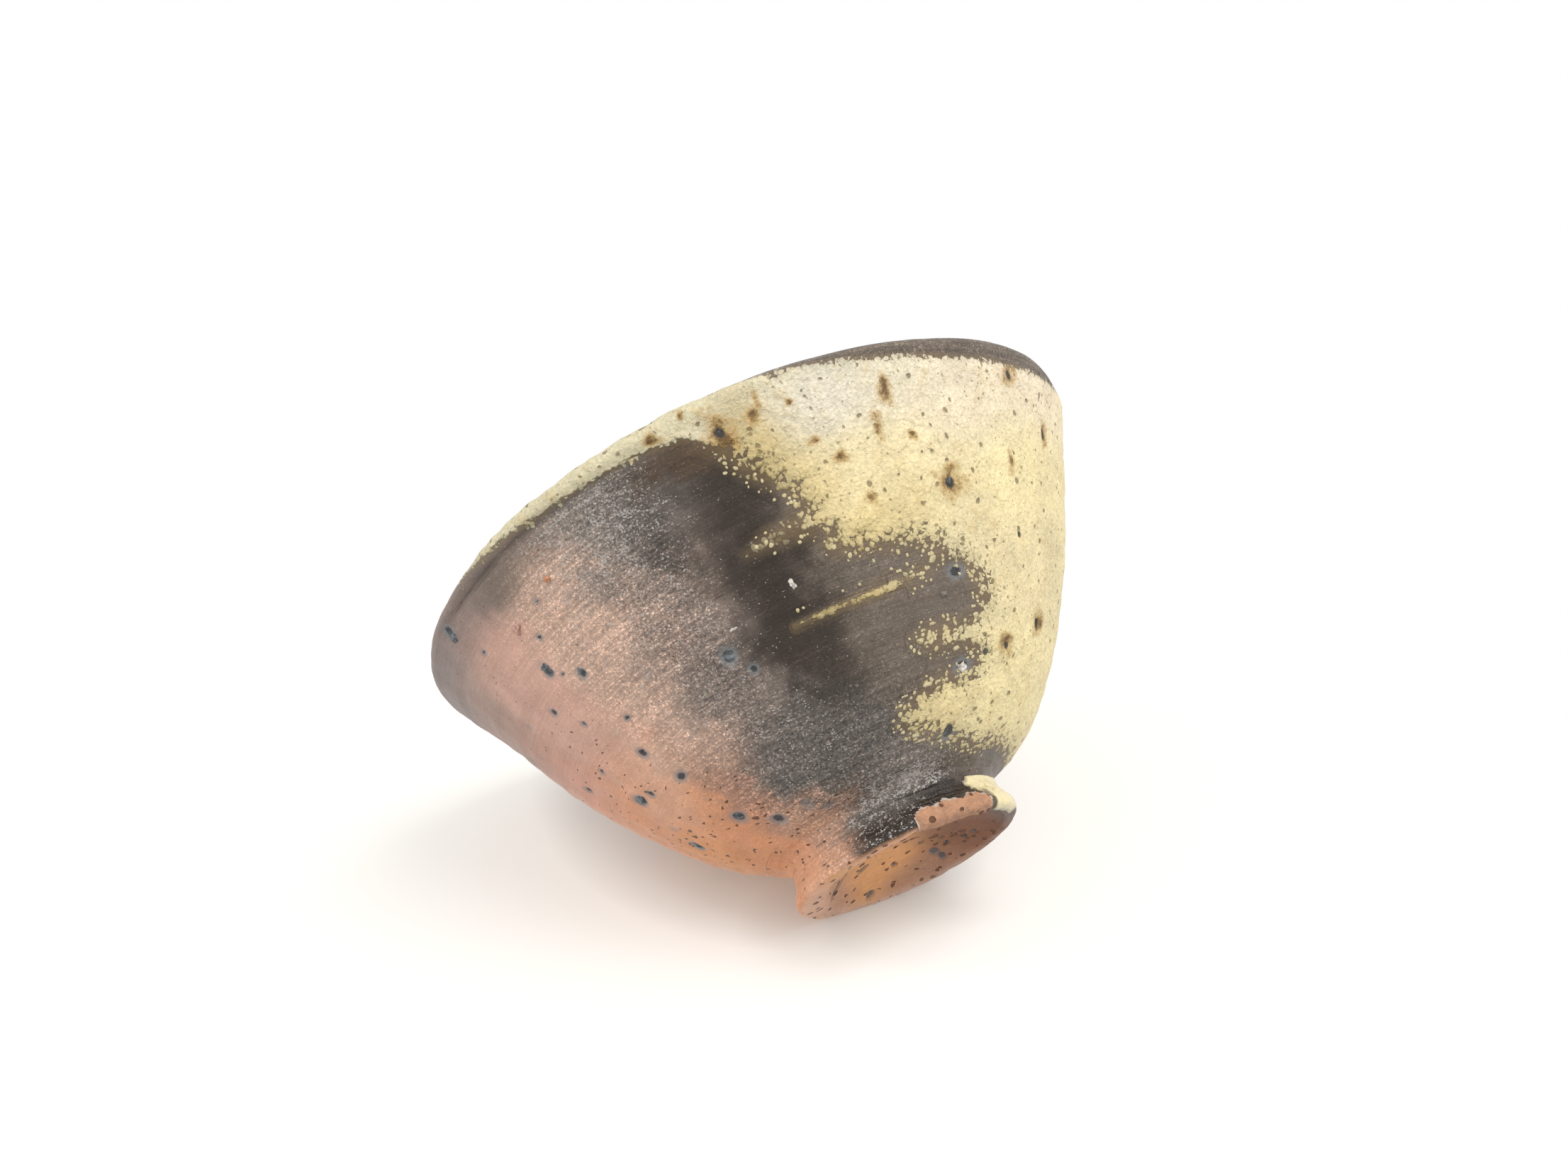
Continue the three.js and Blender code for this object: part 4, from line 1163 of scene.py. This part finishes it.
class BOWL_OT_stage(bpy.types.Operator):
    """Set the camera, floors, lamps and world, so that the bowl is seen tipped on its side"""
    bl_idname = "bowl.stage"
    bl_label = "Stage"

    # Ways as the camera sees them, and up from the floor that the tipped bowl lies on
    RIGHT = Vector((0.897, 0.164, -0.410))
    UP = Vector((0.4415, -0.333, 0.833))
    AHEAD = Vector((0.0, 0.9285, 0.3714))
    FLOOR_UP = Vector((0.411, -0.650, 0.639)).normalized()
    MIDDLE = Vector((0, 0, 0.03))
    CAMERA_PLACE = (0.0014, -0.2835, -0.0626)
    LENS, SENSOR = 42.3, 36

    # Floors: name, place, way up and how much they glow
    FLOORS = (
        ("tipped_floor", Vector((-0.014, 0.022, 0.011)), FLOOR_UP, 0.5),
        ("level_floor", Vector((0, 0, -0.0002)), Vector((0, 0, 1)), 0.68),
    )
    FLOOR_WIDTH = 0.9
    FADE_FROM, FADE_TO = 0.08, 0.16
    # Reach of the ambient occlusion that dims the floor's glow: a painted contact shadow
    CONTACT_SHADE_REACH = 0.012

    # Lamps: name, shares of the four ways above, then distance and width in metres and power in watts
    LAMPS = (
        ("key", 0.9, 0.5, 0.0, -0.25, 0.9, 0.7, 6.2),
        ("fill", 0.0, -0.7, 0.3, -0.6, 0.9, 0.8, 1.8),
        ("left_glint", 0.0, -0.72, -0.2, -0.62, 0.8, 0.12, 0.4),
        ("right_glint", 0.0, 0.8, 0.0, -0.5, 0.8, 0.12, 0.4),
        ("high_glint", 0.0, -0.6, 0.6, -0.4, 0.8, 0.12, 0.4),
    )

    def execute(self, context):
        scene = context.scene
        scene.view_settings.view_transform = "Standard"
        bpy.ops.object.camera_add(location=self.CAMERA_PLACE)
        camera = context.object
        camera.data.lens = self.LENS
        camera.data.sensor_width = self.SENSOR
        camera.data.clip_start = 0.01
        back = -self.AHEAD.normalized()
        across = self.UP.cross(back).normalized()
        camera.rotation_euler = Matrix((across, back.cross(across), back)).transposed().to_euler()
        scene.camera = camera
        for floor in self.FLOORS:
            self.add_floor(*floor)
        for name, off_floor, right, up, ahead, distance, wide, power in self.LAMPS:
            way = off_floor * self.FLOOR_UP + right * self.RIGHT + up * self.UP + ahead * self.AHEAD
            self.add_lamp(name, self.MIDDLE + distance * way, wide, power)
        self.light_world(scene)
        return {"FINISHED"}

    def add_lamp(self, name, place, wide, power):
        """A soft square lamp, aimed at the bowl."""
        bpy.ops.object.light_add(type="AREA", location=place)
        lamp = bpy.context.object
        lamp.name = name
        lamp.data.size = wide
        lamp.data.energy = power
        lamp.rotation_euler = (place - self.MIDDLE).to_track_quat("Z", "Y").to_euler()

    def add_floor(self, name, place, up, glow_level):
        """A sheet that only the camera sees, so that it doesn't shade the bowl from below."""
        bpy.ops.object.select_all(action="DESELECT")
        turn = up.to_track_quat("Z", "Y").to_euler()
        bpy.ops.mesh.primitive_plane_add(size=self.FLOOR_WIDTH, location=place, rotation=turn)
        floor = bpy.context.object
        floor.name = name
        for ray in ("diffuse", "glossy", "transmission", "shadow"):
            setattr(floor, f"visible_{ray}", False)
        material, tree = named_material(f"white_paper_{name}")
        if tree is not None:
            # Paper that is white where it is lit and glows a little, keeps a soft shadow, fades out far off
            # and has no back; its glow is dimmed near the bowl by ambient occlusion, a painted contact
            # shadow
            near = add(tree, "ShaderNodeAmbientOcclusion", {"Distance": self.CONTACT_SHADE_REACH}).outputs["AO"]
            paper = add(tree, "ShaderNodeBsdfDiffuse", {"Color": rgba(linear("#bdbcba"))}).outputs[0]
            level = ranged(tree, near, 0, 1, 0.3 * glow_level, glow_level)
            glow = add(tree, "ShaderNodeEmission", {
                "Color": rgba(linear("#fffaf2")), "Strength": level}).outputs[0]
            lit = add(tree, "ShaderNodeAddShader", {0: paper, 1: glow}).outputs[0]
            place_in = add(tree, "ShaderNodeTexCoord").outputs["Object"]
            far = add(tree, "ShaderNodeVectorMath", {0: place_in}, operation="LENGTH").outputs["Value"]
            fade = ranged(tree, far, self.FADE_FROM, self.FADE_TO, 0, 1)
            back = add(tree, "ShaderNodeNewGeometry").outputs["Backfacing"]
            gone = calc(tree, "MAXIMUM", fade, back)
            clear = add(tree, "ShaderNodeBsdfTransparent").outputs[0]
            shader = add(tree, "ShaderNodeMixShader", {0: gone, 1: lit, 2: clear}).outputs[0]
            add(tree, "ShaderNodeOutputMaterial", {"Surface": shader})
        floor.data.materials.append(material)

    def light_world(self, scene):
        """A white room, a little dimmer as a light than to the eye."""
        world = bpy.data.worlds.new("white_room")
        scene.world = world
        world.use_nodes = True
        tree = world.node_tree
        tree.nodes.clear()
        path = add(tree, "ShaderNodeLightPath")
        seen = calc(tree, "MAXIMUM", path.outputs["Is Camera Ray"], path.outputs["Is Glossy Ray"])
        seen = calc(tree, "MAXIMUM", seen, path.outputs["Is Transmission Ray"])
        strength = ranged(tree, seen, 0, 1, 0.7, 1.0)
        sky = add(tree, "ShaderNodeBackground", {"Color": (1, 1, 1, 1), "Strength": strength}).outputs[0]
        add(tree, "ShaderNodeOutputWorld", {"Surface": sky})


class BOWL_PT_panel(bpy.types.Panel):
    """Sizes, colours and steps of the tea bowl"""
    bl_idname = "BOWL_PT_panel"
    bl_label = "Tea bowl"
    bl_space_type = "VIEW_3D"
    bl_region_type = "UI"
    bl_category = "Tea bowl"

    def draw(self, context):
        for group in (context.scene.bowl_sizes, context.scene.bowl_colours):
            for name in type(group).__annotations__:
                self.layout.prop(group, name)
        for step in STEPS:
            self.layout.operator(step.bl_idname)


STEPS = (
    BOWL_OT_wall, BOWL_OT_ash, BOWL_OT_foot, BOWL_OT_slip, BOWL_OT_foot_marks, BOWL_OT_inclusions,
    BOWL_OT_stage)
CLASSES = (BowlSizes, BowlColours, *STEPS, BOWL_PT_panel)


def register():
    """Adds the classes and the bowl's own settings."""
    for cls in CLASSES:
        bpy.utils.register_class(cls)
    bpy.types.Scene.bowl_sizes = PointerProperty(type=BowlSizes)
    bpy.types.Scene.bowl_colours = PointerProperty(type=BowlColours)


def unregister():
    """Takes them away again."""
    del bpy.types.Scene.bowl_colours
    del bpy.types.Scene.bowl_sizes
    for cls in reversed(CLASSES):
        bpy.utils.unregister_class(cls)


def main():
    """Builds the bowl and its stage."""
    register()
    bpy.ops.bowl.wall()
    bpy.ops.bowl.ash()
    bpy.ops.bowl.foot()
    bpy.ops.bowl.slip()
    bpy.ops.bowl.foot_marks()
    bpy.ops.bowl.inclusions()
    bpy.ops.bowl.stage()


if __name__ == "__main__":
    main()
